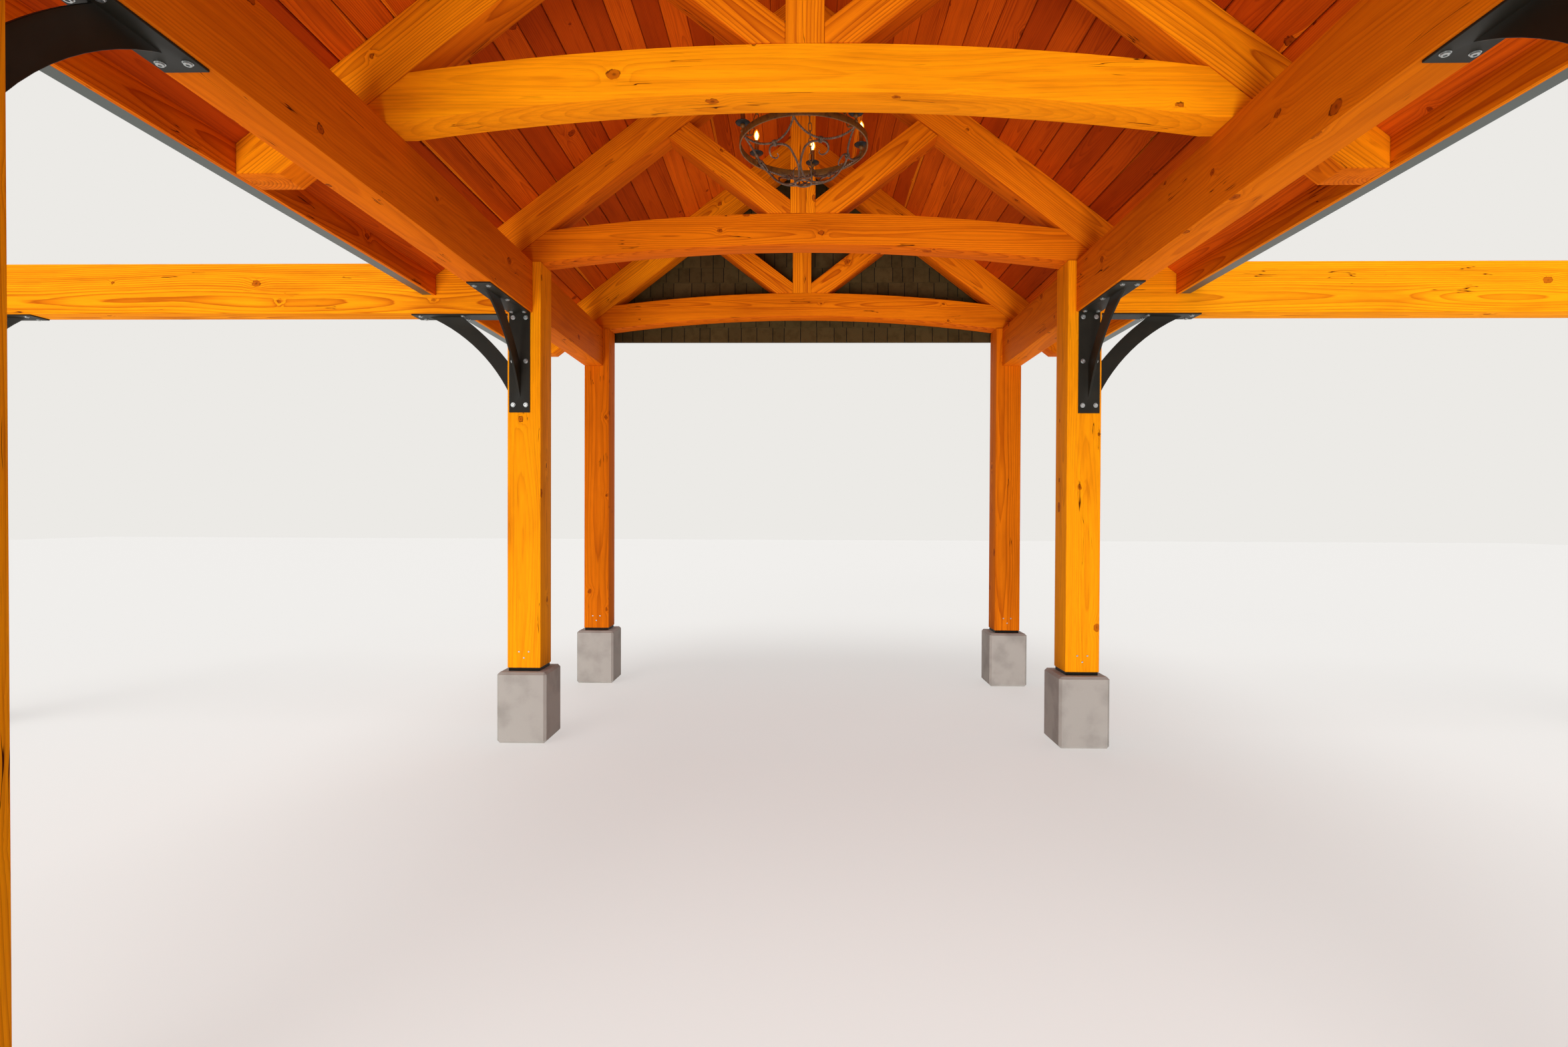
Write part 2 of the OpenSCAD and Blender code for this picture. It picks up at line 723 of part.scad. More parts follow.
chandelier_scrolls();
chandelier_pans();
chandelier_candles();
chandelier_bulbs();
chandelier_chain();
chandelier_rose();
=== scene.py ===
"""Looks of a timber-framed porch canopy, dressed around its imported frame.

Every piece is built in metres, in the frame's own axes: +Z up, -Y the front, +X the right.
"""

import logging
import math
import random
import zlib
from collections.abc import Iterable, Iterator, Mapping, Sequence
from dataclasses import dataclass
from enum import Enum
from functools import cache

import bmesh
import bpy
from mathutils import Matrix, Vector


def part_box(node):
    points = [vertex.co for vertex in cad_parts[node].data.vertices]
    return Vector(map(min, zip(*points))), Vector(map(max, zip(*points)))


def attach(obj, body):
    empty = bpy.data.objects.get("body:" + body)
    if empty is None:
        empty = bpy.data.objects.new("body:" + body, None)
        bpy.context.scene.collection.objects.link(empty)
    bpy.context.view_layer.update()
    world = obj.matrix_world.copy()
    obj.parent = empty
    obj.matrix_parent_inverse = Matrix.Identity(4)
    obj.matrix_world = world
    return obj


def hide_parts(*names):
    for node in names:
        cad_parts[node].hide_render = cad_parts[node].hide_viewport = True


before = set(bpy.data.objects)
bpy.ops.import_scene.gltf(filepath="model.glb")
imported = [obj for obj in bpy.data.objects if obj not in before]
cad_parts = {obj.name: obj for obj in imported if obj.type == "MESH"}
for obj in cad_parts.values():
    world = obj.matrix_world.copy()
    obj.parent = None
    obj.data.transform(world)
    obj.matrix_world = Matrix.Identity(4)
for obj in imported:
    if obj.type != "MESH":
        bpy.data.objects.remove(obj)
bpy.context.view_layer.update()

log = logging.getLogger("canopy")

BODY = "root"
SIDES = ("left", "right")
RIGHT = Vector((1, 0, 0))
BACK = Vector((0, 1, 0))
UP = Vector((0, 0, 1))
# Points of a node's mesh that are nearer than this are one point
WELD = 0.00001

# Blender's names of the nodes that are used most
ATTRIBUTE = "ShaderNodeAttribute"
MATH = "ShaderNodeMath"
MIX = "ShaderNodeMix"
NAMED = "GeometryNodeInputNamedAttribute"
NOISE = "ShaderNodeTexNoise"
RANGE = "ShaderNodeMapRange"
VECTOR = "ShaderNodeVectorMath"
XYZ = "ShaderNodeCombineXYZ"

Node = bpy.types.Node
Tree = bpy.types.NodeTree
Mesh = bpy.types.Mesh
Solid = bmesh.types.BMesh
Source = bpy.types.NodeSocket | Node | Sequence[float] | float | str
Inputs = Mapping[int | str, Source] | Sequence[Source]
Outline = Sequence[tuple[float, float]]


def linear(code: str) -> tuple[float, float, float, float]:
    """Turns an sRGB hex colour into linear values.

    Args:
        code: The colour as #rrggbb.

    Returns:
        The linear red, green and blue, and an alpha of 1.
    """
    channels = [int(code[i:i + 2], 16) / 255 for i in (1, 3, 5)]
    red, green, blue = (c / 12.92 if c <= 0.04045 else ((c + 0.055) / 1.055) ** 2.4 for c in channels)
    return (red, green, blue, 1.0)


def connect(node: Node, inputs: Inputs) -> None:
    """Sets or links some inputs of a node.

    Args:
        node: The node.
        inputs: What each input gets, by name or in order: a node or a socket is linked, a value is set.
    """
    for key, value in inputs.items() if isinstance(inputs, Mapping) else enumerate(inputs):
        if isinstance(key, int):
            socket = node.inputs[key]
        else:
            socket = next(s for s in node.inputs if s.name == key and s.enabled)
        if isinstance(value, Node):
            value = next(s for s in value.outputs if s.enabled)
        if isinstance(value, bpy.types.NodeSocket):
            node.id_data.links.new(value, socket)
        else:
            socket.default_value = value


def add(
    tree: Tree,
    kind: str,
    inputs: Inputs = (),
    stops: Sequence[tuple[float, str]] = (),
    **settings: object,
) -> Node:
    """Adds a node to a tree with its settings and links.

    Args:
        tree: The shader or geometry tree.
        kind: Blender's name of the node's type.
        inputs: What each input gets, as for connect.
        stops: The places and colours of a colour ramp.
        **settings: The node's own properties.

    Returns:
        The new node.
    """
    node = tree.nodes.new(kind)
    for name, value in settings.items():
        setattr(node, name, value)
    connect(node, inputs)
    if stops:
        points = node.color_ramp.elements
        while len(points) < len(stops):
            points.new(1.0)
        for point, (place, code) in zip(points, stops):
            point.position = place
            point.color = linear(code)
    return node


def seed_of(name: str) -> random.Random:
    """A random source that is the same in every run for the same name."""
    return random.Random(zlib.crc32(name.encode()))


@dataclass(frozen=True)
class Finish:
    """A surface finish that makes its material once.

    Attributes:
        name: The material's name.
    """

    name: str

    def material(self) -> bpy.types.Material:
        """The finish's material, made at its first use.

        Returns:
            The material.
        """
        made = bpy.data.materials.get(self.name)
        if made is None:
            made = bpy.data.materials.new(self.name)
            made.use_nodes = True
            self.write(made.node_tree, made.node_tree.nodes["Principled BSDF"])
        return made

    def write(self, tree: Tree, shader: Node) -> None:
        """Writes the finish's nodes.

        Args:
            tree: The material's tree.
            shader: Its Principled BSDF.
        """
        raise NotImplementedError

    @staticmethod
    def toned(tree: Tree, colour: Node, tone: Source, reach: float) -> Node:
        """Lightens or darkens a colour by its piece's tone.

        Args:
            tree: The material's tree.
            colour: The colour.
            tone: The tone, from -1, dark, to 1, light.
            reach: The share of light that a tone of 1 adds.

        Returns:
            The toned colour.
        """
        light = add(tree, MATH, (tone, reach, 1.0), operation="MULTIPLY_ADD")
        return add(tree, VECTOR, {0: colour, "Scale": light}, operation="SCALE")


@dataclass(frozen=True)
class StainedWood(Finish):
    """Sawn Douglas fir under a semi-transparent oil stain.

    The rings show as fine dark lines that run out into flames, and the stain is darker on knots and
    drying checks, so the eye sees warm bands and not one flat orange.

    Attributes:
        early: Colour of the soft early wood of the reddest stick.
        bright: The same of the yellowest stick.
        late: Colour of the hard late wood.
        pooled: Colour where stain has pooled.
        knot: Colour of a knot's rim.
        edge_highlight: Colour of a pale band far from the pith, a painted highlight along one edge of some
            boards for the lit side of a joint.
        edge_highlight_start: Distance from the pith at which that band starts.
        edge_highlight_share: How strongly the band shows.
        ring: Spacing of the rings, in metres.
        knot_run: Mean distance between places for a knot along the grain.
        knot_share: Share of those places that hold one.
        tone_range: How much lighter or darker than the mean a stick may be.
        split_share: How dark the drying checks are.
        sheen: Roughness of the dried stain.
    """

    early: str = "#e46c08"
    bright: str = "#f89b09"
    late: str = "#a03804"
    pooled: str = "#983806"
    knot: str = "#481803"
    edge_highlight: str = "#ee7c10"
    edge_highlight_start: float = 0.102
    edge_highlight_share: float = 0.0
    ring: float = 0.010
    knot_run: float = 0.5
    knot_share: float = 0.32
    tone_range: float = 0.10
    split_share: float = 1.0
    sheen: float = 0.7

    # Width of the cell that may hold a knot, and the weight of a distance along the grain beside one across
    # it, which draws knots out along the grain
    KNOT_CELL = 0.12
    KNOT_WEIGHT = 0.72
    # A knot's least radius and how much larger it may be, how far its outline wobbles, and how often this
    # and the breaks of its rim change in a metre
    KNOT_LEAST = 0.005
    KNOT_SPREAD = 0.015
    KNOT_WOBBLE = 0.02
    WOBBLES = 45.0
    BREAKS = 30.0
    # Shares of a knot's radius at which its inside and its heart start to show and show in full
    KNOT_PARTS = ((1.08, 1.0), (0.45, 0.0))
    # How far the rings bulge round a knot, over how many of its radii, and how far they wander with the
    # pith and ripple
    SWELL = 0.016
    SWELL_REACH = 2.4
    WANDER = 0.09
    RIPPLE = 0.0022
    # One ring: pale early wood, then a dark line of late wood that ends sharply
    RING = ((0.0, "#000000"), (0.45, "#2c2c2c"), (0.84, "#d8d8d8"), (0.93, "#ffffff"), (1.0, "#000000"))
    # Patterns over the stick: how often they change in a metre along, across and through, and how finely.
    # Fibres are far finer than this on the real wood, and are drawn as coarse as they need to show
    PATTERNS = {
        "drift": ((0.7, 1.6, 1.6), 1.0), "ripple": ((5.0, 60.0, 60.0), 2.0),
        "contrast": ((1.1, 14.0, 14.0), 3.0), "fibre": ((9.0, 420.0, 420.0), 2.0),
        "cloud": ((1.6, 10.0, 10.0), 4.0),
    }
    # The same of the bands of rings, which are laid over the bent stick
    BAND = (0.5, 42.0, 42.0)
    # The same over a face, for the drying checks: the splits and the patches that hold them
    SPLITS = {"line": ((1.5, 34.0, 0.0), 2.0), "patch": ((2.6, 9.0, 0.0), 1.0)}
    # The values at which a pattern starts to show and shows in full; a rim's are distances from it
    SHOWS = {
        "contrast": (0.05, 0.6), "band": (0.42, 0.72), "cloud": (0.5, 0.85), "fibre": (0.45, 0.8),
        "broken": (0.38, 0.6), "rim": (0.0032, 0.0004), "line": (0.013, 0.003), "patch": (0.66, 0.70),
    }
    # Width of the soft edge of that painted highlight band
    EDGE_HIGHLIGHT_SOFTNESS = 0.004
    # How strongly rings and bands show on a calm stick, and how much more on a flamed one
    CALM = 0.15
    FLAMED = (0.85, 0.25)

    @classmethod
    def knots(cls, tree: Tree, face: Source, side: Node, run: float, share: float) -> tuple[Node, ...]:
        """Writes the knots of a face.

        Args:
            tree: The material's tree.
            face: The place on the face, along and across the grain.
            side: 1 on a stick's side and 0 on its end.
            run: Mean distance between places for a knot along the grain.
            share: Share of those places that hold one.

        Returns:
            How far the rings swell there, and the masks of the knots' inside, heart and rim.
        """
        # A place for one knot in each cell of the face; the cell's colour says how big it is
        cells = add(tree, VECTOR, (face, (1 / run, 1 / cls.KNOT_CELL, 0.0)), operation="MULTIPLY")
        cell = add(tree, "ShaderNodeTexVoronoi", {"Vector": cells, "Scale": 1.0, "Randomness": 1.0},
                   voronoi_dimensions="2D")
        away = add(tree, VECTOR, (cells, cell.outputs["Position"]), operation="SUBTRACT")
        away = add(tree, VECTOR, (away, (run * cls.KNOT_WEIGHT, cls.KNOT_CELL, 0.0)), operation="MULTIPLY")
        wobble = add(tree, NOISE, {"Vector": face, "Scale": cls.WOBBLES, "Detail": 2.0})
        reach = add(tree, VECTOR, (away,), operation="LENGTH").outputs["Value"]
        reach = add(tree, MATH, (reach, cls.KNOT_WOBBLE / 2), operation="SUBTRACT")
        reach = add(tree, MATH, (wobble, cls.KNOT_WOBBLE, reach), operation="MULTIPLY_ADD")
        luck = add(tree, "ShaderNodeSeparateColor", {"Color": cell.outputs["Color"]})
        there = add(tree, MATH, (luck.outputs[1], share), operation="LESS_THAN")
        there = add(tree, MATH, (there, side), operation="MULTIPLY")
        radius = (luck.outputs[0], cls.KNOT_SPREAD, cls.KNOT_LEAST)
        radius = add(tree, MATH, radius, operation="MULTIPLY_ADD")
        masks = []
        for shares in cls.KNOT_PARTS:
            ends = [add(tree, MATH, (radius, part), operation="MULTIPLY") for part in shares]
            mask = add(tree, RANGE, (reach, *ends), interpolation_type="SMOOTHSTEP")
            masks.append(add(tree, MATH, (mask, there), operation="MULTIPLY"))
        rim = add(tree, MATH, (reach, radius), operation="SUBTRACT")
        rim = add(tree, MATH, (rim,), operation="ABSOLUTE")
        rim = add(tree, RANGE, (rim, *cls.SHOWS["rim"]), interpolation_type="SMOOTHSTEP")
        broken = add(tree, NOISE, {"Vector": face, "Scale": cls.BREAKS})
        broken = add(tree, RANGE, (broken, *cls.SHOWS["broken"]), interpolation_type="SMOOTHSTEP")
        for part in (there, broken):
            rim = add(tree, MATH, (rim, part), operation="MULTIPLY")
        swell = add(tree, MATH, (radius, cls.SWELL_REACH), operation="MULTIPLY")
        swell = add(tree, MATH, (reach, swell), operation="DIVIDE")
        for part in (swell, -1.0):
            swell = add(tree, MATH, (swell, part), operation="MULTIPLY")
        swell = add(tree, MATH, (swell,), operation="EXPONENT")
        for part in (there, cls.SWELL):
            swell = add(tree, MATH, (swell, part), operation="MULTIPLY")
        return swell, *masks, rim

    def checks(self, tree: Tree, face: Source, side: Node) -> Node:
        """Writes the drying checks, short dark splits along the grain.

        Args:
            tree: The material's tree.
            face: The place on the face, along and across the grain.
            side: 1 on a stick's side and 0 on its end.

        Returns:
            The mask of the splits.
        """
        noise = {}
        for name, (often, detail) in self.SPLITS.items():
            place = add(tree, VECTOR, (face, often), operation="MULTIPLY")
            place = {"Vector": place, "Scale": 1.0, "Detail": detail}
            noise[name] = add(tree, NOISE, place, noise_dimensions="2D")
        line = add(tree, MATH, (noise["line"], 0.5), operation="SUBTRACT")
        noise["line"] = add(tree, MATH, (line,), operation="ABSOLUTE")
        check, patch = (
            add(tree, RANGE, (noise[name], *self.SHOWS[name]), interpolation_type="SMOOTHSTEP")
            for name in ("line", "patch"))
        for share in (patch, side, self.split_share):
            check = add(tree, MATH, (check, share), operation="MULTIPLY")
        return check

    def write(self, tree: Tree, shader: Node) -> None:
        """Writes rings, fibres, knots and checks over the wood's own coordinates.

        Args:
            tree: The material's tree.
            shader: Its Principled BSDF.
        """
        wood, face, tone, end, figure = (
            add(tree, ATTRIBUTE, attribute_name=name).outputs
            for name in ("wood", "face", "tone", "end_grain", "figure"))
        wood, face = wood["Vector"], face["Vector"]
        tone, end, figure = tone["Fac"], end["Fac"], figure["Fac"]
        side = add(tree, MATH, (1.0, end), operation="SUBTRACT")
        swell, inside, heart, rim = self.knots(tree, face, side, self.knot_run, self.knot_share)
        check = self.checks(tree, face, side)
        noise = {}
        for name, (often, detail) in self.PATTERNS.items():
            place = add(tree, VECTOR, (wood, often), operation="MULTIPLY")
            noise[name] = add(tree, NOISE, {"Vector": place, "Scale": 1.0, "Detail": detail})

        # The rings, with the pith wandering slowly along the stick and bulging round each knot
        drift = add(tree, VECTOR, (noise["drift"].outputs["Color"], (0.5, 0.5, 0.5)), operation="SUBTRACT")
        drift = add(tree, VECTOR, (drift, (0.0, self.WANDER, self.WANDER)), operation="MULTIPLY")
        bent = add(tree, VECTOR, (wood, drift), operation="ADD")
        across = add(tree, VECTOR, (bent, (0.0, 1.0, 1.0)), operation="MULTIPLY")
        depth = add(tree, VECTOR, (across,), operation="LENGTH").outputs["Value"]
        ripple = add(tree, MATH, (noise["ripple"], self.RIPPLE, swell), operation="MULTIPLY_ADD")
        depth = add(tree, MATH, (depth, ripple), operation="ADD")
        turn = add(tree, MATH, (depth, self.ring), operation="DIVIDE")
        turn = add(tree, MATH, (turn,), operation="FRACT")
        rings = add(tree, "ShaderNodeValToRGB", (turn,), stops=self.RING)

        # Bands of several rings, which are what shows from across a room
        band = add(tree, VECTOR, (bent, self.BAND), operation="MULTIPLY")
        noise["band"] = add(tree, NOISE, {"Vector": band, "Scale": 1.0, "Detail": 3.0})
        contrast, band, cloud, fibres = (
            add(tree, RANGE, (noise[name], *self.SHOWS[name]), interpolation_type="SMOOTHSTEP")
            for name in ("contrast", "band", "cloud", "fibre"))
        # Painted highlight: a paler band past a distance from the pith, which falls along one edge of some
        # boards
        edge_highlight = (depth, self.edge_highlight_start, self.edge_highlight_start + self.EDGE_HIGHLIGHT_SOFTNESS)
        edge_highlight = add(tree, RANGE, edge_highlight, interpolation_type="SMOOTHSTEP")
        grain = add(tree, MATH, (rings, contrast), operation="MULTIPLY")
        ring_share, band_share = (
            add(tree, MATH, (figure, most, self.CALM), operation="MULTIPLY_ADD") for most in self.FLAMED)
        grain = add(tree, MATH, (grain, ring_share), operation="MULTIPLY")

        share = add(tree, RANGE, (tone, -1.0, 1.0), interpolation_type="SMOOTHSTEP")
        colour = add(tree, MIX, {"Factor": share, "A": linear(self.early), "B": linear(self.bright)},
                     data_type="RGBA")
        for mask, most, code in (
            (edge_highlight, self.edge_highlight_share, self.edge_highlight), (grain, 1.0, self.late), (band, band_share, self.late),
            (cloud, 0.4, self.pooled), (fibres, 0.28, self.pooled), (inside, 0.7, self.pooled),
            (rim, 0.8, self.knot), (heart, 0.55, self.knot), (check, 1.0, self.knot),
            (end, 0.25, self.pooled),
        ):
            share = add(tree, MATH, (mask, most), operation="MULTIPLY")
            colour = add(tree, MIX, {"Factor": share, "A": colour, "B": linear(code)}, data_type="RGBA")

        height = add(tree, MATH, (noise["fibre"], 0.5), operation="MULTIPLY")
        for mask, rise in ((grain, -0.35), (check, -3.0), (rim, -0.8)):
            height = add(tree, MATH, (mask, rise, height), operation="MULTIPLY_ADD")
        connect(shader, {
            "Base Color": self.toned(tree, colour, tone, self.tone_range),
            "Normal": add(tree, "ShaderNodeBump", {"Height": height, "Strength": 0.5, "Distance": 0.0008}),
            "Roughness": self.sheen, "Specular IOR Level": 0.03,
        })


@dataclass(frozen=True)
class Coating(Finish):
    """A coat or cast skin with a fine grain and soft patches.

    Attributes:
        base: Main colour.
        mottle: Colour of the patches.
        grain: Size of the fine grain, in metres.
        patch: Size of the patches, in metres.
        patch_share: How strongly the patches show.
        relief: Height of the grain, in metres.
        roughness: Roughness of the skin.
        metallic: How metallic it is.
        tone_range: How much lighter or darker than the mean one tab may be.
        gloss: How much of the light its surface mirrors, where 0.5 is usual for a paint.
    """

    base: str
    mottle: str
    grain: float
    patch: float
    patch_share: float = 0.5
    relief: float = 0.0002
    roughness: float = 0.5
    metallic: float = 0.0
    tone_range: float = 0.0
    gloss: float = 0.5

    def write(self, tree: Tree, shader: Node) -> None:
        """Writes patches of colour and a fine relief over Object coordinates.

        Args:
            tree: The material's tree.
            shader: Its Principled BSDF.
        """
        place = add(tree, "ShaderNodeTexCoord").outputs["Object"]
        broad, fine = (
            add(tree, NOISE, {"Vector": place, "Scale": 1 / size, "Detail": detail})
            for size, detail in ((self.patch, 5.0), (self.grain, 2.0)))
        colour = linear(self.base)
        for noise, none, full, most in ((broad, 0.42, 0.72, 1.0), (fine, 0.55, 0.85, 0.35)):
            share = add(tree, RANGE, (noise, none, full), interpolation_type="SMOOTHSTEP")
            share = add(tree, MATH, (share, most * self.patch_share), operation="MULTIPLY")
            colour = add(tree, MIX, {"Factor": share, "A": colour, "B": linear(self.mottle)}, data_type="RGBA")
        tone = add(tree, ATTRIBUTE, attribute_name="tone").outputs["Fac"]
        bump = {"Height": fine, "Strength": 0.6, "Distance": self.relief}
        # How much rougher the skin is where the broad patches are fullest than where there are none
        swing = 0.2
        rough = add(tree, MATH, (broad, swing, self.roughness - swing / 2), operation="MULTIPLY_ADD")
        connect(shader, {
            "Base Color": self.toned(tree, colour, tone, self.tone_range),
            "Normal": add(tree, "ShaderNodeBump", bump),
            "Roughness": rough, "Metallic": self.metallic, "Specular IOR Level": self.gloss,
        })


@dataclass(frozen=True)
class Glow(Finish):
    """A lit part of a lamp.

    Attributes:
        colour: Its colour.
        strength: How brightly it glows.
        opacity: How much of what is behind it it hides.
    """

    colour: str
    strength: float
    opacity: float = 1.0

    def write(self, tree: Tree, shader: Node) -> None:
        """Sets the glow on the shader's own sockets.

        Args:
            tree: The material's tree, which gets no more nodes.
            shader: Its Principled BSDF.
        """
        colour = linear(self.colour)
        connect(shader, {"Base Color": colour, "Emission Color": colour, "Emission Strength": self.strength,
                         "Alpha": self.opacity, "Roughness": 0.15})


# Heavy sawn fir under a bright oil stain: warm orange with red-brown flames, knots and splits, nearly matt
FIR = StainedWood("stained_douglas_fir")
# Planed fir boards that took more stain: deep red-brown, and on some boards a paler band along one edge, a
# painted highlight for the lit side of a joint
BOARD = StainedWood(
    "stained_fir_ceiling_board", early="#b64008", bright="#cc5609", late="#8e3006", pooled="#742004",
    ring=0.0075, knot_run=0.9, knot_share=0.25, tone_range=0.16, split_share=0.0, edge_highlight_share=0.85)
# Baked-on powder: an even, soft black with hardly a grain
POWDER = Coating(
    "powder_coated_steel", "#1d1b15", "#29251c", grain=0.0012, patch=0.12, relief=0.0001, gloss=0.15)
# Zinc plate: small bright grey points on the black plates
ZINC = Coating(
    "zinc_plated_bolt", "#b9bcbb", "#8d9190", grain=0.0015, patch=0.01, roughness=0.35, metallic=1.0)
# Concrete cast in a smooth form: warm grey, cloudy and matt
CONCRETE = Coating(
    "cast_concrete", "#a7a19a", "#7f7a73", grain=0.002, patch=0.16, relief=0.0006, roughness=0.85)
# Stone granules in asphalt: rough charcoal, each tab a little lighter or darker. The granules are about a
# millimetre across, and are drawn as coarse as they need to show
ASPHALT = Coating(
    "asphalt_shingle", "#4b4742", "#36322e", grain=0.004, patch=0.02, patch_share=0.7, relief=0.0008,
    roughness=0.95, tone_range=0.28, gloss=0.2)
# Baked enamel on folded sheet: an even grey-green with a soft shine
ENAMEL = Coating(
    "enamelled_aluminium", "#2f3833", "#39433d", grain=0.004, patch=0.5, patch_share=0.4, relief=0.00003,
    roughness=0.35)
# Backing behind the gable's shingles, all but black: painted shade in the gaps between them
SHADE_BACKING = Coating("roofing_felt", "#14110d", "#1e1a14", grain=0.003, patch=0.1, roughness=0.95, gloss=0.1)
# Sawn cedar under a dark stain: dull olive-brown, shingle by shingle
DARK_SHINGLE = Coating(
    "dark_stained_cedar", "#47381f", "#382b15", grain=0.004, patch=0.05, patch_share=0.6, relief=0.0006,
    roughness=0.85, tone_range=0.14, gloss=0.04)
# Flat iron bar left to rust under wax: brown with darker scale
IRON = Coating(
    "rusted_iron_band", "#6e4817", "#3f2710", grain=0.004, patch=0.02, patch_share=0.8, relief=0.0004,
    metallic=0.3)
# Forged bar: dark brown with small paler coppery patches, which are painted highlights
HIGHLIGHTED_IRON = Coating(
    "rubbed_iron_bar", "#4f3b2c", "#8c6d55", grain=0.003, patch=0.014, patch_share=0.6, relief=0.0003,
    roughness=0.42, metallic=0.4)
# Iron blacked in the fire: almost black, with a dull shine
DARK_IRON = Coating("blackened_iron", "#14110e", "#2a2018", grain=0.003, patch=0.03, metallic=0.2, gloss=0.3)
# Resin sleeve stained like old wax: reddish brown with amber drips
SLEEVE = Coating("stained_candle_sleeve", "#6e330c", "#9a5312", grain=0.003, patch=0.012, roughness=0.4)
# Blown amber glass, lit from within: it glows orange and the core shows through it
FLAME_GLASS = Glow("amber_flame_glass", "#ffa41e", strength=0.9, opacity=0.45)
# The lamp's core: a small, pale yellow flame
FILAMENT = Glow("glowing_filament", "#ffe9a8", strength=5.0)


def make_piece(
    name: str,
    mesh: Mesh,
    finish: Finish,
    slot: str,
    stands_for: Sequence[str] = (),
    smooth: float = 35,
) -> None:
    """Puts a finished mesh into the scene as a piece of the canopy.

    Args:
        name: The piece's name.
        mesh: Its mesh, in place.
        finish: The finish of the whole piece.
        slot: The material slot meant for it, which is not used.
        stands_for: The frame's nodes that it replaces.
        smooth: Edges flatter than this many degrees are shaded smooth.
    """
    piece = bpy.data.objects.new(name, mesh)
    bpy.context.scene.collection.objects.link(piece)
    # A grown mesh has an empty slot before its own, and the faces of its cuts fall into that
    mesh.materials.clear()
    mesh.materials.append(finish.material())
    mesh.polygons.foreach_set("material_index", [0] * len(mesh.polygons))
    mesh.shade_smooth()
    mesh.set_sharp_from_angle(angle=math.radians(smooth))
    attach(piece, BODY)
    if stands_for:
        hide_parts(*stands_for)
    log.info("%s: %d faces", name, len(mesh.polygons))


def coat(node: str, finish: Finish) -> None:
    """Gives a node of the frame its finish, with its mesh left as it is.

    Args:
        node: The node's name.
        finish: The finish.
    """
    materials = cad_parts[node].data.materials
    materials.clear()
    materials.append(finish.material())
    log.info("%s: %s", node, finish.name)


def corners(points: Iterable[Vector]) -> tuple[Vector, Vector]:
    """The low and the high corner of the box round some points.

    Args:
        points: The points.

    Returns:
        The two corners.
    """
    places = list(points)
    low, high = (Vector([ends(p[i] for p in places) for i in range(3)]) for ends in (min, max))
    return low, high


def solids_of(node: str) -> Iterator[Solid]:
    """The closed solids of a node, merged and with their flat faces joined.

    Args:
        node: The node's name.

    Yields:
        Each solid.
    """
    whole = bmesh.new()
    whole.from_mesh(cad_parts[node].data)
    bmesh.ops.remove_doubles(whole, verts=whole.verts, dist=WELD)
    bmesh.ops.dissolve_limit(whole, angle_limit=math.radians(0.3), verts=whole.verts, edges=whole.edges)
    left = set(whole.faces)
    while left:
        start = min(left, key=lambda f: f.index)
        reached = {start}
        queue = [start]
        while queue:
            for edge in queue.pop().edges:
                for face in edge.link_faces:
                    if face not in reached:
                        reached.add(face)
                        queue.append(face)
        left -= reached
        solid = bmesh.new()
        twins = {}
        for face in sorted(reached, key=lambda f: f.index):
            for vert in face.verts:
                if vert not in twins:
                    twins[vert] = solid.verts.new(vert.co)
            solid.faces.new([twins[v] for v in face.verts])
        solid.normal_update()
        yield solid
    whole.free()


def ease(solid: Solid, width: float, segments: int = 1, least: float = 25) -> None:
    """Rounds the sharp edges of a solid.

    Args:
        solid: The solid, changed in place.
        width: How far the round reaches from the edge.
        segments: Steps across the round.
        least: Smallest angle between two faces, in degrees, that counts as sharp.
    """
    sharp = [e for e in solid.edges if len(e.link_faces) == 2 and e.calc_face_angle(0) > math.radians(least)]
    bmesh.ops.bevel(solid, geom=sharp, offset=width, offset_type="OFFSET", segments=segments, profile=0.6,
                    affect="EDGES", clamp_overlap=True)


def cut_off(solid: Solid, point: Vector, away: Vector) -> None:
    """Cuts off what lies past a plane and closes each cut.

    Args:
        solid: One or more closed solids, changed in place.
        point: A point of the plane.
        away: The plane's normal, towards what is cut off.
    """
    parts = solid.verts[:] + solid.edges[:] + solid.faces[:]
    cut = bmesh.ops.bisect_plane(solid, geom=parts, plane_co=point, plane_no=away, clear_outer=True)
    rim = [e for e in cut["geom_cut"] if isinstance(e, bmesh.types.BMEdge)]
    if rim:
        bmesh.ops.edgeloop_fill(solid, edges=rim)
    solid.normal_update()


def drawn(solid: Solid, name: str) -> Mesh:
    """A mesh of a solid, which is freed.

    Args:
        solid: The solid.
        name: The mesh's name.

    Returns:
        The mesh.
    """
    mesh = bpy.data.meshes.new(name)
    solid.to_mesh(mesh)
    solid.free()
    return mesh


def joined(solids: Iterable[Solid], name: str) -> Mesh:
    """One mesh of several solids, which are freed.

    Args:
        solids: The solids.
        name: The mesh's name.

    Returns:
        The mesh.
    """
    whole = bmesh.new()
    for solid in solids:
        scrap = drawn(solid, "scrap")
        whole.from_mesh(scrap)
        bpy.data.meshes.remove(scrap)
    return drawn(whole, name)


def longest_way(solid: Solid) -> Vector:
    """The direction of a stick's longest edge, or its longest axis where it is arched.

    Args:
        solid: The stick.

    Returns:
        The direction, which points up its own longest axis.
    """
    edge = max(solid.edges, key=lambda e: e.calc_length())
    way = edge.verts[1].co - edge.verts[0].co
    low, high = corners(v.co for v in solid.verts)
    spans = list(high - low)
    if way.length < max(spans) / 2:
        way = Vector([1.0 if s == max(spans) else 0.0 for s in spans])
    way.normalize()
    lead = max(range(3), key=lambda i: abs(way[i]))
    return way if way[lead] > 0 else -way


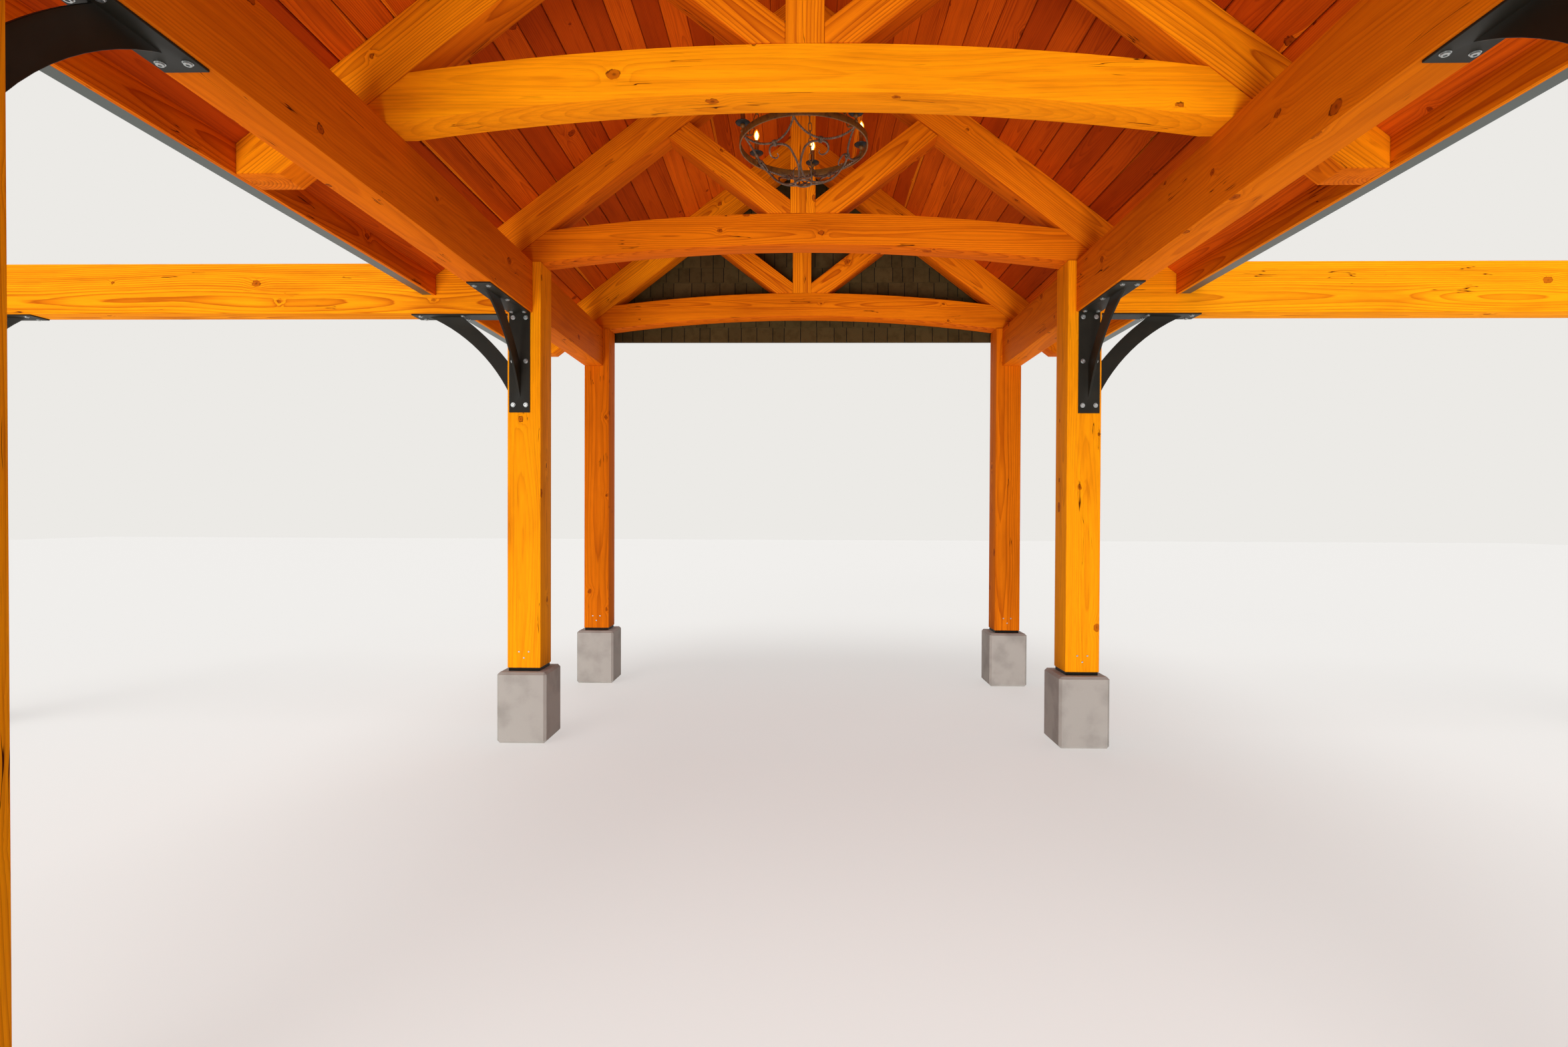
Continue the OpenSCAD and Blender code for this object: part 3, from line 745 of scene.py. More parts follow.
def mark_grain(solid: Solid, along: Vector, luck: random.Random, figure: float, tone: float) -> None:
    """Gives a stick of wood its own coordinates, so that its grain runs along it.

    Args:
        solid: The stick, changed in place.
        along: The direction of its grain.
        luck: Where its random pith and start of the grain come from.
        figure: How strongly its rings show, from 0, calm, to 1, flamed.
        tone: Its tone, from -1, dark and red, to 1, light and yellow.
    """
    # Sticks thinner than this are boards, which are sawn beside the heart and not round it
    board = 0.06
    # Faces of one stick lie this far apart in the pattern of knots, so that no two are alike
    stride = 11.3
    lean = UP if abs(along.z) < 0.9 else BACK
    across = along.cross(lean).normalized()
    axes = Matrix((along, across, along.cross(across)))
    places = [axes @ v.co for v in solid.verts]
    low, high = corners(places)
    middle = (low + high) / 2
    size = high - low
    start = luck.uniform(0, 40)
    # The heart lies inside a timber and behind a board, so that their faces show flames
    pith = Vector((0, luck.uniform(-0.3, 0.3) * size[1], luck.uniform(-0.3, 0.3) * size[2]))
    thin = 1 if size[1] < size[2] else 2
    if size[thin] < board:
        pith[thin] = luck.choice((-1, 1)) * luck.uniform(0.03, 0.09)
    for name in ("tone", "figure"):
        solid.verts.layers.float.new(name)
    wood = solid.verts.layers.float_vector.new("wood")
    tones = solid.verts.layers.float["tone"]
    figures = solid.verts.layers.float["figure"]
    face_place = solid.loops.layers.float_vector.new("face")
    ends = solid.faces.layers.float.new("end_grain")
    for vert, place in zip(solid.verts, places):
        vert[wood] = place - middle - pith + Vector((start, 0, 0))
        vert[tones] = tone
        vert[figures] = figure
    for face in solid.faces:
        normal = axes @ face.normal
        lead = max(range(3), key=lambda i: abs(normal[i]))
        face[ends] = 1.0 if lead == 0 else 0.0
        run = 2 if lead == 1 else 1
        side = lead * 2 + (1 if normal[lead] > 0 else 0)
        for loop in face.loops:
            place = axes @ loop.vert.co - middle
            loop[face_place] = (place[0] + start + side * stride, place[run] + side * stride, 0)


@dataclass(frozen=True)
class Timbers:
    """The sticks of the timber frame, cut from the frame's nodes.

    Attributes:
        arris: Width of the eased arris of a heavy timber.
        trim_arris: Width of the eased arris of a thin board.
        painted_shade_drop: How much darker in tone the undersides of the trusses are made, as painted shade.
    """

    arris: float = 0.005
    trim_arris: float = 0.002
    painted_shade_drop: float = 0.8

    POSTS = tuple(f"post_{place}_{side}" for place in ("front", "middle", "rear", "end") for side in SIDES)
    HEAVY = (
        *POSTS, "main_beam_left", "main_beam_right", "side_beam_left", "side_beam_right",
        "tie_beam_1", "tie_beam_2", "tie_beam_3", "tie_beam_4", "king_posts",
        "rafters_1", "rafters_2", "rafters_3", "rafters_4", "truss_webs",
    )
    TRIM = ("fascia_left", "fascia_right", "barge_boards")
    # Members whose undersides get painted shade
    SHADED_BELOW = ("tie_beam", "rafters", "truss_webs")
    # How strongly the rings of the sticks that the photograph shows come out, and their tones
    FIGURE = {
        "tie_beam_2": 0.15, "tie_beam_3": 0.6, "truss_webs": 0.85, "king_posts": 0.7,
        "post_middle_left": 0.2, "post_middle_right": 0.2, "rafters_2": 0.7, "rafters_3": 0.6,
        "main_beam_left": 0.2, "main_beam_right": 0.25,
    }
    # Each stick's tone, partly its own and partly painted light: lighter on the front sticks, which the
    # light reaches, and darker on the rear and inner ones, which stand in shade
    TONE_AND_PAINTED_LIGHT = {
        "tie_beam_2": 1.0, "post_middle_left": 1.0, "post_middle_right": 0.9, "side_beam_left": 0.5,
        "tie_beam_3": -0.3, "tie_beam_4": -0.2, "main_beam_left": -0.6, "main_beam_right": -0.4,
        "rafters_2": 0.3, "rafters_3": -0.2, "truss_webs": -0.2, "king_posts": 0.0,
        "post_rear_left": -0.4, "post_rear_right": -0.3, "post_front_left": 0.8, "post_front_right": 0.6,
    }

    def paint_shade_under(self, solid: Solid) -> None:
        """Paints shade on a stick's underside by darkening its tone.

        Args:
            solid: The stick, changed in place.
        """
        tones = solid.verts.layers.float["tone"]
        for vert in {v for face in solid.faces if face.normal.z < -0.7 for v in face.verts}:
            vert[tones] -= self.painted_shade_drop

    def stick(self, node: str, arris: float) -> None:
        """Dresses the sticks of one node.

        Args:
            node: The node's name.
            arris: Width of the eased edges.
        """
        luck = seed_of(node)
        sticks = []
        for solid in solids_of(node):
            along = longest_way(solid)
            ease(solid, arris, segments=2)
            figure = self.FIGURE.get(node, luck.uniform(0.35, 0.8))
            mark_grain(solid, along, luck, figure, self.TONE_AND_PAINTED_LIGHT.get(node, luck.uniform(-0.6, 0.8)))
            # Painted shade: the undersides of the truss members are darker in tone
            if node.startswith(self.SHADED_BELOW):
                self.paint_shade_under(solid)
            sticks.append(solid)
        make_piece(f"{node}_timber", joined(sticks, node), FIR, "timber", [node])

    def build(self) -> None:
        """Dresses every timber and trim board."""
        for nodes, arris in ((self.HEAVY, self.arris), (self.TRIM, self.trim_arris)):
            for node in nodes:
                self.stick(node, arris)


@dataclass(frozen=True)
class BoardedCeiling:
    """Tongue-and-groove boards that run front to back on top of the rafters.

    Attributes:
        board: Width that one board covers.
        joint: Width of the chamfer on each side of a joint.
        gap: Open gap at the bottom of a joint.
        laps: Where boards meet end to end, over the middle rafters.
    """

    board: float = 0.137
    joint: float = 0.0055
    gap: float = 0.003
    laps: tuple[float, float] = (-0.743, 0.933)

    def build(self) -> None:
        """Boards both slopes."""
        for side in SIDES:
            self.slope(f"ceiling_{side}")

    def slope(self, node: str) -> None:
        """Cuts one slope's slab into boards.

        Args:
            node: The slab's node.
        """
        slab = next(solids_of(node))
        under = max((f for f in slab.faces if f.normal.z < 0), key=lambda f: f.calc_area())
        normal = under.normal.copy()
        down = normal.cross(BACK).normalized()
        if down.z > 0:
            down = -down
        runs = [v.co.dot(down) for v in slab.verts]
        count = round((max(runs) - min(runs)) / self.board)
        width = (max(runs) - min(runs)) / count
        luck = seed_of(node)
        boards = []
        for i in range(count):
            low = min(runs) + i * width
            lap = self.laps[luck.randrange(2)]
            for way in (BACK, -BACK):
                board = slab.copy()
                cut_off(board, down * (low + self.gap / 2), -down)
                cut_off(board, down * (low + width - self.gap / 2), down)
                cut_off(board, BACK * lap, way)
                if not board.faces:
                    board.free()
                    continue
                self.chamfer(board, normal)
                mark_grain(board, BACK, luck, luck.uniform(0.3, 1.0), luck.uniform(-1, 1))
                boards.append(board)
        slab.free()
        make_piece(f"{node}_boards", joined(boards, node), BOARD, "ceiling_boards", [node])

    def chamfer(self, board: Solid, normal: Vector) -> None:
        """Chamfers the two long lower edges of a board.

        Args:
            board: The board, changed in place.
            normal: The outward normal of its underside.
        """
        edges = []
        for edge in board.edges:
            way = (edge.verts[1].co - edge.verts[0].co).normalized()
            if abs(way.y) > 0.99 and any(f.normal.dot(normal) > 0.99 for f in edge.link_faces):
                edges.append(edge)
        bmesh.ops.bevel(board, geom=edges, offset=self.joint, offset_type="OFFSET", segments=1, profile=0.5,
                        affect="EDGES", clamp_overlap=True)
        board.normal_update()


class Kind(Enum):
    """Kinds of a recipe's inputs, by Blender's name of the socket."""

    SIZE = "NodeSocketFloat"
    COUNT = "NodeSocketInt"
    PART = "NodeSocketObject"
    FINISH = "NodeSocketMaterial"


class Recipe:
    """A Geometry Nodes tree with named inputs, which ends in Realize Instances and Set Material."""

    def __init__(self, name: str) -> None:
        """Starts an empty tree.

        Args:
            name: The tree's name.
        """
        self.tree = bpy.data.node_groups.new(name, "GeometryNodeTree")
        for way in ("INPUT", "OUTPUT"):
            self.tree.interface.new_socket("Geometry", in_out=way, socket_type="NodeSocketGeometry")
        self.entry = add(self.tree, "NodeGroupInput")
        self.start = self.entry.outputs["Geometry"]

    def ask(self, kind: Kind, *names: str) -> list[bpy.types.NodeSocket]:
        """Adds named inputs.

        Args:
            kind: What they take.
            *names: Their names.

        Returns:
            The sockets that give their values.
        """
        for name in names:
            self.tree.interface.new_socket(name, in_out="INPUT", socket_type=kind.value)
        return [self.entry.outputs[name] for name in names]

    def close(self, geometry: Node) -> None:
        """Ends the tree: real meshes with their finish.

        Args:
            geometry: The node that gives the last shape.
        """
        [finish] = self.ask(Kind.FINISH, "Finish")
        solid = add(self.tree, "GeometryNodeRealizeInstances", (geometry,))
        finished = add(self.tree, "GeometryNodeSetMaterial", {"Geometry": solid, "Material": finish})
        add(self.tree, "NodeGroupOutput", (finished,))

    def grow(self, name: str, start: Mesh, sizes: Mapping[str, object]) -> Mesh:
        """Runs the tree and returns its result as a plain mesh.

        Args:
            name: Name of the result.
            start: The mesh that the tree starts from.
            sizes: A value for each named input.

        Returns:
            The realized mesh.
        """
        carrier = bpy.data.objects.new(name, start)
        bpy.context.scene.collection.objects.link(carrier)
        modifier = carrier.modifiers.new("recipe", "NODES")
        modifier.node_group = self.tree
        for item in self.tree.interface.items_tree:
            if item.in_out == "INPUT" and item.name in sizes:
                modifier[item.identifier] = sizes[item.name]
        carrier.update_tag()
        bpy.context.view_layer.update()
        graph = bpy.context.evaluated_depsgraph_get()
        mesh = bpy.data.meshes.new_from_object(carrier.evaluated_get(graph), depsgraph=graph)
        mesh.name = name
        carrier.modifiers.remove(modifier)
        bpy.data.objects.remove(carrier)
        return mesh


def turned(name: str, outline: Outline, sides: int, closed: bool = False) -> Mesh:
    """A solid of revolution about Z.

    Args:
        name: The mesh's name.
        outline: Radius and height of each point, from the bottom on the axis to the top on the axis.
        sides: Steps round the axis.
        closed: Whether the outline is a loop beside the axis, as for a hoop.

    Returns:
        The closed mesh.
    """
    solid = bmesh.new()
    rings = []
    for radius, height in outline:
        turns = [math.tau * k / sides for k in range(sides if radius else 1)]
        rings.append([solid.verts.new((radius * math.cos(a), radius * math.sin(a), height)) for a in turns])
    if closed:
        rings.append(rings[0])
    for low, high in zip(rings, rings[1:]):
        for k in range(sides):
            n = (k + 1) % sides
            quad = (low[k % len(low)], low[n % len(low)], high[n % len(high)], high[k % len(high)])
            solid.faces.new(list(dict.fromkeys(quad)))
    bmesh.ops.recalc_face_normals(solid, faces=solid.faces)
    return drawn(solid, name)


@dataclass(frozen=True)
class Seats:
    """Places that like parts are set on.

    Attributes:
        spots: Where each part stands.
        ways: The direction in which each part's own Z points.
        turns: Each part's turn about that direction, in radians.
    """

    spots: Sequence[Vector]
    ways: Sequence[Vector]
    turns: Sequence[float]

    @classmethod
    def spun(cls, spots: Sequence[Vector], ways: Sequence[Vector], name: str) -> "Seats":
        """Seats whose parts are each turned at random, by the seed of a name."""
        luck = seed_of(name)
        return cls(spots, ways, [luck.uniform(0, math.tau) for _ in spots])

    def mesh(self) -> Mesh:
        """The seats as loose points with their attributes.

        Returns:
            The mesh of points.
        """
        mesh = bpy.data.meshes.new("seats")
        mesh.from_pydata(self.spots, [], [])
        # Each is filled before the next is made, which moves the ones before it
        facing = mesh.attributes.new("facing", "FLOAT_VECTOR", "POINT")
        facing.data.foreach_set("vector", [value for way in self.ways for value in way])
        turn = mesh.attributes.new("turn", "FLOAT", "POINT")
        turn.data.foreach_set("value", self.turns)
        return mesh

    def set_with(self, name: str, part: Mesh, finish: Finish) -> Mesh:
        """Sets one part on each seat.

        Args:
            name: Name of the result.
            part: The part, which stands on Z = 0 at the origin.
            finish: The parts' finish.

        Returns:
            One mesh of all the parts.
        """
        sizes = {"Part": bpy.data.objects.new(part.name, part), "Finish": finish.material()}
        return seat_recipe().grow(name, self.mesh(), sizes)


@cache
def seat_recipe() -> Recipe:
    """Sets one part on each point, facing and turned the way the point says.

    Returns:
        The recipe.
    """
    recipe = Recipe("seats")
    tree = recipe.tree
    [part] = recipe.ask(Kind.PART, "Part")
    facing = add(tree, NAMED, {"Name": "facing"}, data_type="FLOAT_VECTOR").outputs["Attribute"]
    turn = add(tree, NAMED, {"Name": "turn"}, data_type="FLOAT").outputs["Attribute"]
    aim = add(tree, "FunctionNodeAlignRotationToVector", {"Vector": facing}, axis="Z")
    spin = add(tree, "FunctionNodeEulerToRotation", (add(tree, XYZ, {"Z": turn}),))
    pose = add(tree, "FunctionNodeRotateRotation", (aim, spin), rotation_space="LOCAL")
    shape = add(tree, "GeometryNodeObjectInfo", {"Object": part}).outputs["Geometry"]
    seated = {"Points": recipe.start, "Instance": shape, "Rotation": pose}
    recipe.close(add(tree, "GeometryNodeInstanceOnPoints", seated))
    return recipe


@dataclass(frozen=True)
class Ironwork:
    """The steel knee braces and post shoes, with their fasteners.

    Attributes:
        plate_t: Thickness of a brace's plates.
        bolt_rows: Distances of the bolts from the corner.
        bolt_half_gauge: Half the distance between the two columns of bolts.
        head_r: Radius of a bolt's head.
        head_h: Height of a bolt's head.
        plate_arris: Width of the eased edges of the braces.
        shoe_arris: The same of the shoes.
        screw_spots: Each foot screw's distance from the post's middle and height above its foot.
    """

    plate_t: float = 0.008
    bolt_rows: tuple[float, float, float] = (0.036, 0.300, 0.564)
    bolt_half_gauge: float = 0.0385
    head_r: float = 0.011
    head_h: float = 0.007
    plate_arris: float = 0.0012
    shoe_arris: float = 0.0015
    screw_spots: Outline = ((-0.030, 0.099), (0.030, 0.099), (0.0, 0.061))

    NODES = ("knee_braces_front", "knee_braces_middle", "knee_braces_side", "knee_braces_end")
    # Outline of a screw's head with its hollow, half sunk into the wood
    SCREW = (
        (0, -0.001), (0.0055, -0.001), (0.0055, 0.0012), (0.004, 0.0026), (0.0018, 0.0029), (0.0018, 0.0012),
        (0, 0.0012),
    )

    def bolt(self) -> Mesh:
        """A washer and a round head with a hexagon socket, standing on Z = 0.

        Returns:
            The bolt.
        """
        r, h = self.head_r, self.head_h
        washer = 0.0018
        socket = 0.45 * r
        return turned("bolt", [
            (0, 0), (1.25 * r, 0), (1.25 * r, washer), (r, washer), (r, 0.75 * h), (0.86 * r, h),
            (socket, h), (socket, 0.35 * h), (0, 0.35 * h)], sides=18)

    def places(self, solid: Solid) -> Iterator[tuple[Vector, Vector]]:
        """Where each bolt of one brace goes, and the way it faces.

        Args:
            solid: The brace.

        Yields:
            The bolt's seat and its direction.
        """
        low, high = corners(v.co for v in solid.verts)
        run = 0 if high.x - low.x > high.y - low.y else 1
        foot = [v.co[run] for v in solid.verts if v.co.z < low.z + 0.01]
        at_low = sum(foot) / len(foot) < (low[run] + high[run]) / 2
        out = Vector((0, 0, 0))
        out[run] = 1 if at_low else -1
        corner = (low + high) / 2
        corner.z = high.z
        corner[run] = low[run] if at_low else high[run]
        gauge = Vector((0, 0, 0))
        gauge[1 - run] = self.bolt_half_gauge
        for row in self.bolt_rows:
            for way in (-1, 1):
                yield corner + out * self.plate_t - UP * row + gauge * way, out
                yield corner - UP * self.plate_t + out * row + gauge * way, -UP

    def build(self) -> None:
        """Dresses the braces, bolts them on, and dresses the shoes."""
        bolt = self.bolt()
        for node in self.NODES:
            braces = list(solids_of(node))
            spots, ways = zip(*(spot for brace in braces for spot in self.places(brace)))
            for brace in braces:
                ease(brace, self.plate_arris, least=40)
            make_piece(f"{node}_steel", joined(braces, node), POWDER, "steel", [node])
            bolts = Seats.spun(spots, ways, node).set_with(f"{node}_bolts", bolt, ZINC)
            make_piece(f"{node}_bolts", bolts, ZINC, "steel")
        self.screws()
        shoes = list(solids_of("post_shoes"))
        for shoe in shoes:
            ease(shoe, self.shoe_arris)
        make_piece("post_shoes_steel", joined(shoes, "post_shoes"), POWDER, "steel", ["post_shoes"])

    def screws(self) -> None:
        """Sets the three screws at the front and back of each post's foot."""
        spots, ways = [], []
        for post in Timbers.POSTS:
            low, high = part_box(post)
            for face, way in ((low.y, -BACK), (high.y, BACK)):
                for x, up in self.screw_spots:
                    spots.append(Vector(((low.x + high.x) / 2 + x, face, low.z + up)))
                    ways.append(way)
        name = "post_foot_screws"
        screw = turned("screw", self.SCREW, sides=12)
        screws = Seats.spun(spots, ways, "screws").set_with(name, screw, ZINC)
        make_piece(name, screws, ZINC, "steel")


@dataclass(frozen=True)
class Piers:
    """The concrete piers under the posts.

    Attributes:
        chamfer: Width of their chamfered arris.
    """

    chamfer: float = 0.015

    def build(self) -> None:
        """Dresses the piers."""
        piers = list(solids_of("piers"))
        for pier in piers:
            ease(pier, self.chamfer)
        make_piece("piers_concrete", joined(piers, "piers"), CONCRETE, "concrete", ["piers"])


@dataclass(frozen=True)
class Courses:
    """Courses of lapped tabs.

    Attributes:
        exposure: Height of a course that shows.
        tab: Mean width of a tab.
        butt: Thickness of a tab's lower edge.
        ragged: How much the tabs differ in width, from 0 to 1.
        finish: Their finish.
        gap: Open gap between two tabs.
    """

    exposure: float
    tab: float
    butt: float
    ragged: float
    finish: Finish
    gap: float = 0.006

    # How far a tab reaches up under the next course, in exposures, and its thickness there, in butts
    LAP = 1.06
    TAPER = 0.25

    @classmethod
    @cache
    def unit_tab(cls) -> bpy.types.Object:
        """A wedge one wide, one exposure and its lap high, and one butt thick at its lower edge.

        Returns:
            The tab, as an object that only the recipe reads.
        """
        solid = bmesh.new()
        verts = [
            solid.verts.new((x, y, z)) for y, top in ((0, 1.0), (cls.LAP, cls.TAPER))
            for x, z in ((-0.5, 0), (0.5, 0), (0.5, top), (-0.5, top))]
        for quad in ((0, 1, 2, 3), (7, 6, 5, 4), (0, 4, 5, 1), (1, 5, 6, 2), (2, 6, 7, 3), (3, 7, 4, 0)):
            solid.faces.new([verts[i] for i in quad])
        bmesh.ops.recalc_face_normals(solid, faces=solid.faces)
        return bpy.data.objects.new("tab", drawn(solid, "tab"))

    def lay(self, name: str, rows: int, columns: int, seed: int) -> Mesh:
        """Lays some courses on a slope whose own axes are X across, Y up the slope and Z outward.

        Args:
            name: Name of the result.
            rows: Number of courses.
            columns: Number of tabs in a course.
            seed: Seed of the tabs' widths and tones.

        Returns:
            One mesh of all the tabs.
        """
        sizes = {
            "Rows": rows, "Columns": columns, "Seed": seed, "Exposure": self.exposure, "Tab width": self.tab,
            "Gap": self.gap, "Butt": self.butt, "Ragged": self.ragged, "Tab": self.unit_tab(),
            "Finish": self.finish.material(),
        }
        return course_recipe().grow(name, bpy.data.meshes.new("empty"), sizes)

    @staticmethod
    def trim(mesh: Mesh, cuts: Iterable[tuple[Vector, Vector]]) -> None:
        """Cuts laid courses off at planes.

        Args:
            mesh: The mesh, changed in place.
            cuts: A point of each plane and its normal, towards what is cut off.
        """
        solid = bmesh.new()
        solid.from_mesh(mesh)
        for point, away in cuts:
            cut_off(solid, point, away)
        solid.to_mesh(mesh)
        solid.free()


@cache
def course_recipe() -> Recipe:
    """Lays courses of lapped tabs, of which every second one starts half a tab later.

    Returns:
        The recipe.
    """
    recipe = Recipe("courses")
    tree = recipe.tree
    rows, columns, seed = recipe.ask(Kind.COUNT, "Rows", "Columns", "Seed")
    exposure, width, gap = recipe.ask(Kind.SIZE, "Exposure", "Tab width", "Gap")
    butt, ragged = recipe.ask(Kind.SIZE, "Butt", "Ragged")
    [tab] = recipe.ask(Kind.PART, "Tab")
    count = add(tree, MATH, (rows, columns), operation="MULTIPLY")
    line = add(tree, "GeometryNodeMeshLine", {"Count": count})
    row = add(tree, MATH, (add(tree, "GeometryNodeInputIndex"), columns), operation="DIVIDE")
    row = add(tree, MATH, (row,), operation="FLOOR")
    loose, tone = (
        add(tree, "FunctionNodeRandomValue", {"Min": low, "Max": high, "Seed": seed}, data_type="FLOAT")
        for low, high in ((0.72, 1.38), (-1.0, 1.0)))
    loose = add(tree, MATH, (loose, -1.0), operation="ADD")
    loose = add(tree, MATH, (loose, ragged, 1.0), operation="MULTIPLY_ADD")
    wide = add(tree, MATH, (loose, width), operation="MULTIPLY")
    sums = add(tree, "GeometryNodeAccumulateField", {"Value": wide, "Group ID": row}, data_type="FLOAT")
    half = add(tree, MATH, (wide, 0.5, sums.outputs["Trailing"]), operation="MULTIPLY_ADD")
    odd = add(tree, MATH, (row, 2.0), operation="MODULO")
    odd = add(tree, MATH, (odd, width), operation="MULTIPLY")
    x = add(tree, MATH, (odd, -0.5, half), operation="MULTIPLY_ADD")
    y = add(tree, MATH, (row, exposure), operation="MULTIPLY")
    placed = add(tree, "GeometryNodeSetPosition", {"Geometry": line, "Position": add(tree, XYZ, (x, y))})
    across = add(tree, MATH, (wide, gap), operation="SUBTRACT")
    shape = add(tree, "GeometryNodeObjectInfo", {"Object": tab}).outputs["Geometry"]
    spread = {"Points": placed, "Instance": shape, "Scale": add(tree, XYZ, (across, exposure, butt))}
    spread = add(tree, "GeometryNodeInstanceOnPoints", spread)
    toned = {"Geometry": spread, "Name": "tone", "Value": tone}
    recipe.close(add(tree, "GeometryNodeStoreNamedAttribute", toned, data_type="FLOAT", domain="INSTANCE"))
    return recipe


@dataclass(frozen=True)
class Roof:
    """Asphalt shingles in courses on both slopes, with capping pieces along the ridge.

    Attributes:
        courses: The shingles.
    """

    courses: Courses = Courses(exposure=0.143, tab=0.305, butt=0.006, ragged=0.0, finish=ASPHALT)

    def build(self) -> None:
        """Shingles both slopes and caps the ridge."""
        for side in SIDES:
            coat(f"roof_{side}", ASPHALT)
            self.slope(f"roof_{side}")
        make_piece("ridge_cap_shingles", joined(self.caps(), "ridge_cap"), ASPHALT, "roofing", ["ridge_cap"])

    def caps(self) -> Iterator[Solid]:
        """The capping pieces, cut from the ridge and each tipped up at its front end.

        Yields:
            Each piece.
        """
        low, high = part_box("ridge_cap")
        count = round((high.y - low.y) / self.courses.exposure)
        length = (high.y - low.y) / count
        ridge = next(solids_of("ridge_cap"))
        for k in range(count):
            cap = ridge.copy()
            front = low.y + k * length
            cut_off(cap, BACK * front, -BACK)
            cut_off(cap, BACK * (front + length), BACK)
            for vert in cap.verts:
                if vert.co.y < front + length / 2:
                    vert.co.z += self.courses.butt
            yield cap
        ridge.free()

    def slope(self, node: str) -> None:
        """Shingles one slope.

        Args:
            node: The slab's node.
        """
        slab = next(solids_of(node))
        top = max((f for f in slab.faces if f.normal.z > 0), key=lambda f: f.calc_area())
        normal = top.normal.copy()
        up = (UP - normal * normal.z).normalized()
        across = up.cross(normal)
        ups = [v.co.dot(up) for v in top.verts]
        acrosses = [v.co.dot(across) for v in top.verts]
        origin = across * min(acrosses) + up * min(ups) + normal * top.verts[0].co.dot(normal)
        slab.free()
        length = max(acrosses) - min(acrosses)
        rise = max(ups) - min(ups)
        rows = math.ceil(rise / self.courses.exposure)
        columns = math.ceil(length / self.courses.tab) + 1
        mesh = self.courses.lay(f"{node}_shingles", rows, columns, len(node))
        self.courses.trim(mesh, ((Vector(), -RIGHT), (RIGHT * length, RIGHT), (BACK * rise, BACK)))
        axes = Matrix((across, up, normal)).transposed().to_4x4()
        mesh.transform(Matrix.Translation(origin) @ axes)
        make_piece(f"{node}_shingles", mesh, ASPHALT, "roofing")


@dataclass(frozen=True)
class Gable:
    """The shingled wall between the rear truss and the house.

    Attributes:
        courses: The shingles.
        drip: How far the lowest course hangs below the wall.
    """

    courses: Courses = Courses(exposure=0.127, tab=0.115, butt=0.009, ragged=1.0, finish=DARK_SHINGLE)
    drip: float = 0.011

    def build(self) -> None:
        """Lays the shingles on the front of the infill."""
        low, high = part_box("gable_infill")
        infill = next(solids_of("gable_infill"))
        front = max((f for f in infill.faces if f.normal.y < -0.9), key=lambda f: f.calc_area())
        rows = math.ceil((high.z - low.z) / self.courses.exposure) + 1
        columns = math.ceil((high.x - low.x) / self.courses.tab) + 3
        mesh = self.courses.lay("gable_shingles", rows, columns, seed=7)
        axes = Matrix((RIGHT, -UP, BACK)).to_4x4()
        mesh.transform(Matrix.Translation(Vector((low.x, low.y, low.z - self.drip))) @ axes)
        cuts = []
        for edge in front.edges:
            other = next(f for f in edge.link_faces if f is not front)
            # The wall's sides and slopes cut the shingles; the lowest ones hang past its lower faces
            if abs(other.normal.y) < 0.1 and other.normal.z > -0.5:
                cuts.append((edge.verts[0].co.copy(), other.normal.copy()))
        infill.free()
        self.courses.trim(mesh, cuts)
        make_piece("gable_shingles", mesh, DARK_SHINGLE, "shingles")
        # The infill behind the shingles is all but black, as painted shade in their gaps
        coat("gable_infill", SHADE_BACKING)


@dataclass(frozen=True)
class Gutters:
    """Folded aluminium gutters along both eaves."""

    def build(self) -> None:
        """Gives the gutters their enamel."""
        for side in SIDES:
            coat(f"gutter_{side}", ENAMEL)


class Bar(Enum):
    """Cross-sections of iron bars, by the radius of the hollows between their ridges in the ridges' own."""

    SQUARE = 0.82
    ROUND = 1.0


@dataclass(frozen=True)
class Line:
    """A line that a bar follows.

    Attributes:
        points: Its points.
        girths: The bar's radius at each of them.
        closed: Whether its end meets its start.
        twist: Turns of the bar's ridges in a metre.
    """

    points: Sequence[Vector]
    girths: Sequence[float]
    closed: bool = False
    twist: float = 0.0

    @classmethod
    def even(cls, points: Sequence[Vector], girth: float, **more: bool | float) -> "Line":
        """A line for a bar of one thickness."""
        return cls(points, [girth] * len(points), **more)

    @classmethod
    def tapered(cls, points: Sequence[Vector], girth: float, tip: float, run: float) -> "Line":
        """A line for a bar that is drawn out thin at both ends.

        Args:
            points: Its points.
            girth: The bar's full radius.
            tip: Its radius at the very ends.
            run: How far the thin part reaches in from each end.

        Returns:
            The line.
        """
        gone = [0.0]
        for a, b in zip(points, points[1:]):
            gone.append(gone[-1] + (b - a).length)
        return cls(points, [tip + (girth - tip) * min(1.0, min(g, gone[-1] - g) / run) for g in gone])


def swept(
    name: str,
    lines: Iterable[Line],
    kind: Bar,
    finish: Finish,
    step: float = 0.003,
    ridges: int = 4,
) -> Mesh:
    """Sweeps a bar along each of some lines.

    Args:
        name: Name of the result.
        lines: The lines.
        kind: The bar's cross-section.
        finish: Its finish.
        step: Distance between two sections.
        ridges: Number of ridges of the cross-section.

    Returns:
        One mesh of all the bars.
    """
    lines = list(lines)
    points: list[Vector] = []
    edges: list[tuple[int, int]] = []
    for line in lines:
        start = len(points)
        points.extend(line.points)
        edges.extend((k, k + 1) for k in range(start, len(points) - 1))
        if line.closed:
            edges.append((len(points) - 1, start))
    mesh = bpy.data.meshes.new("lines")
    mesh.from_pydata(points, edges, [])
    # Each is filled before the next is made, which moves the one before it
    girth = mesh.attributes.new("girth", "FLOAT", "POINT")
    girth.data.foreach_set("value", [g for line in lines for g in line.girths])
    twist = mesh.attributes.new("twist", "FLOAT", "POINT")
    twist.data.foreach_set("value", [line.twist for line in lines for _ in line.points])
    sizes = {"Step": step, "Waist": kind.value, "Ridges": ridges, "Finish": finish.material()}
    return bar_recipe().grow(name, mesh, sizes)


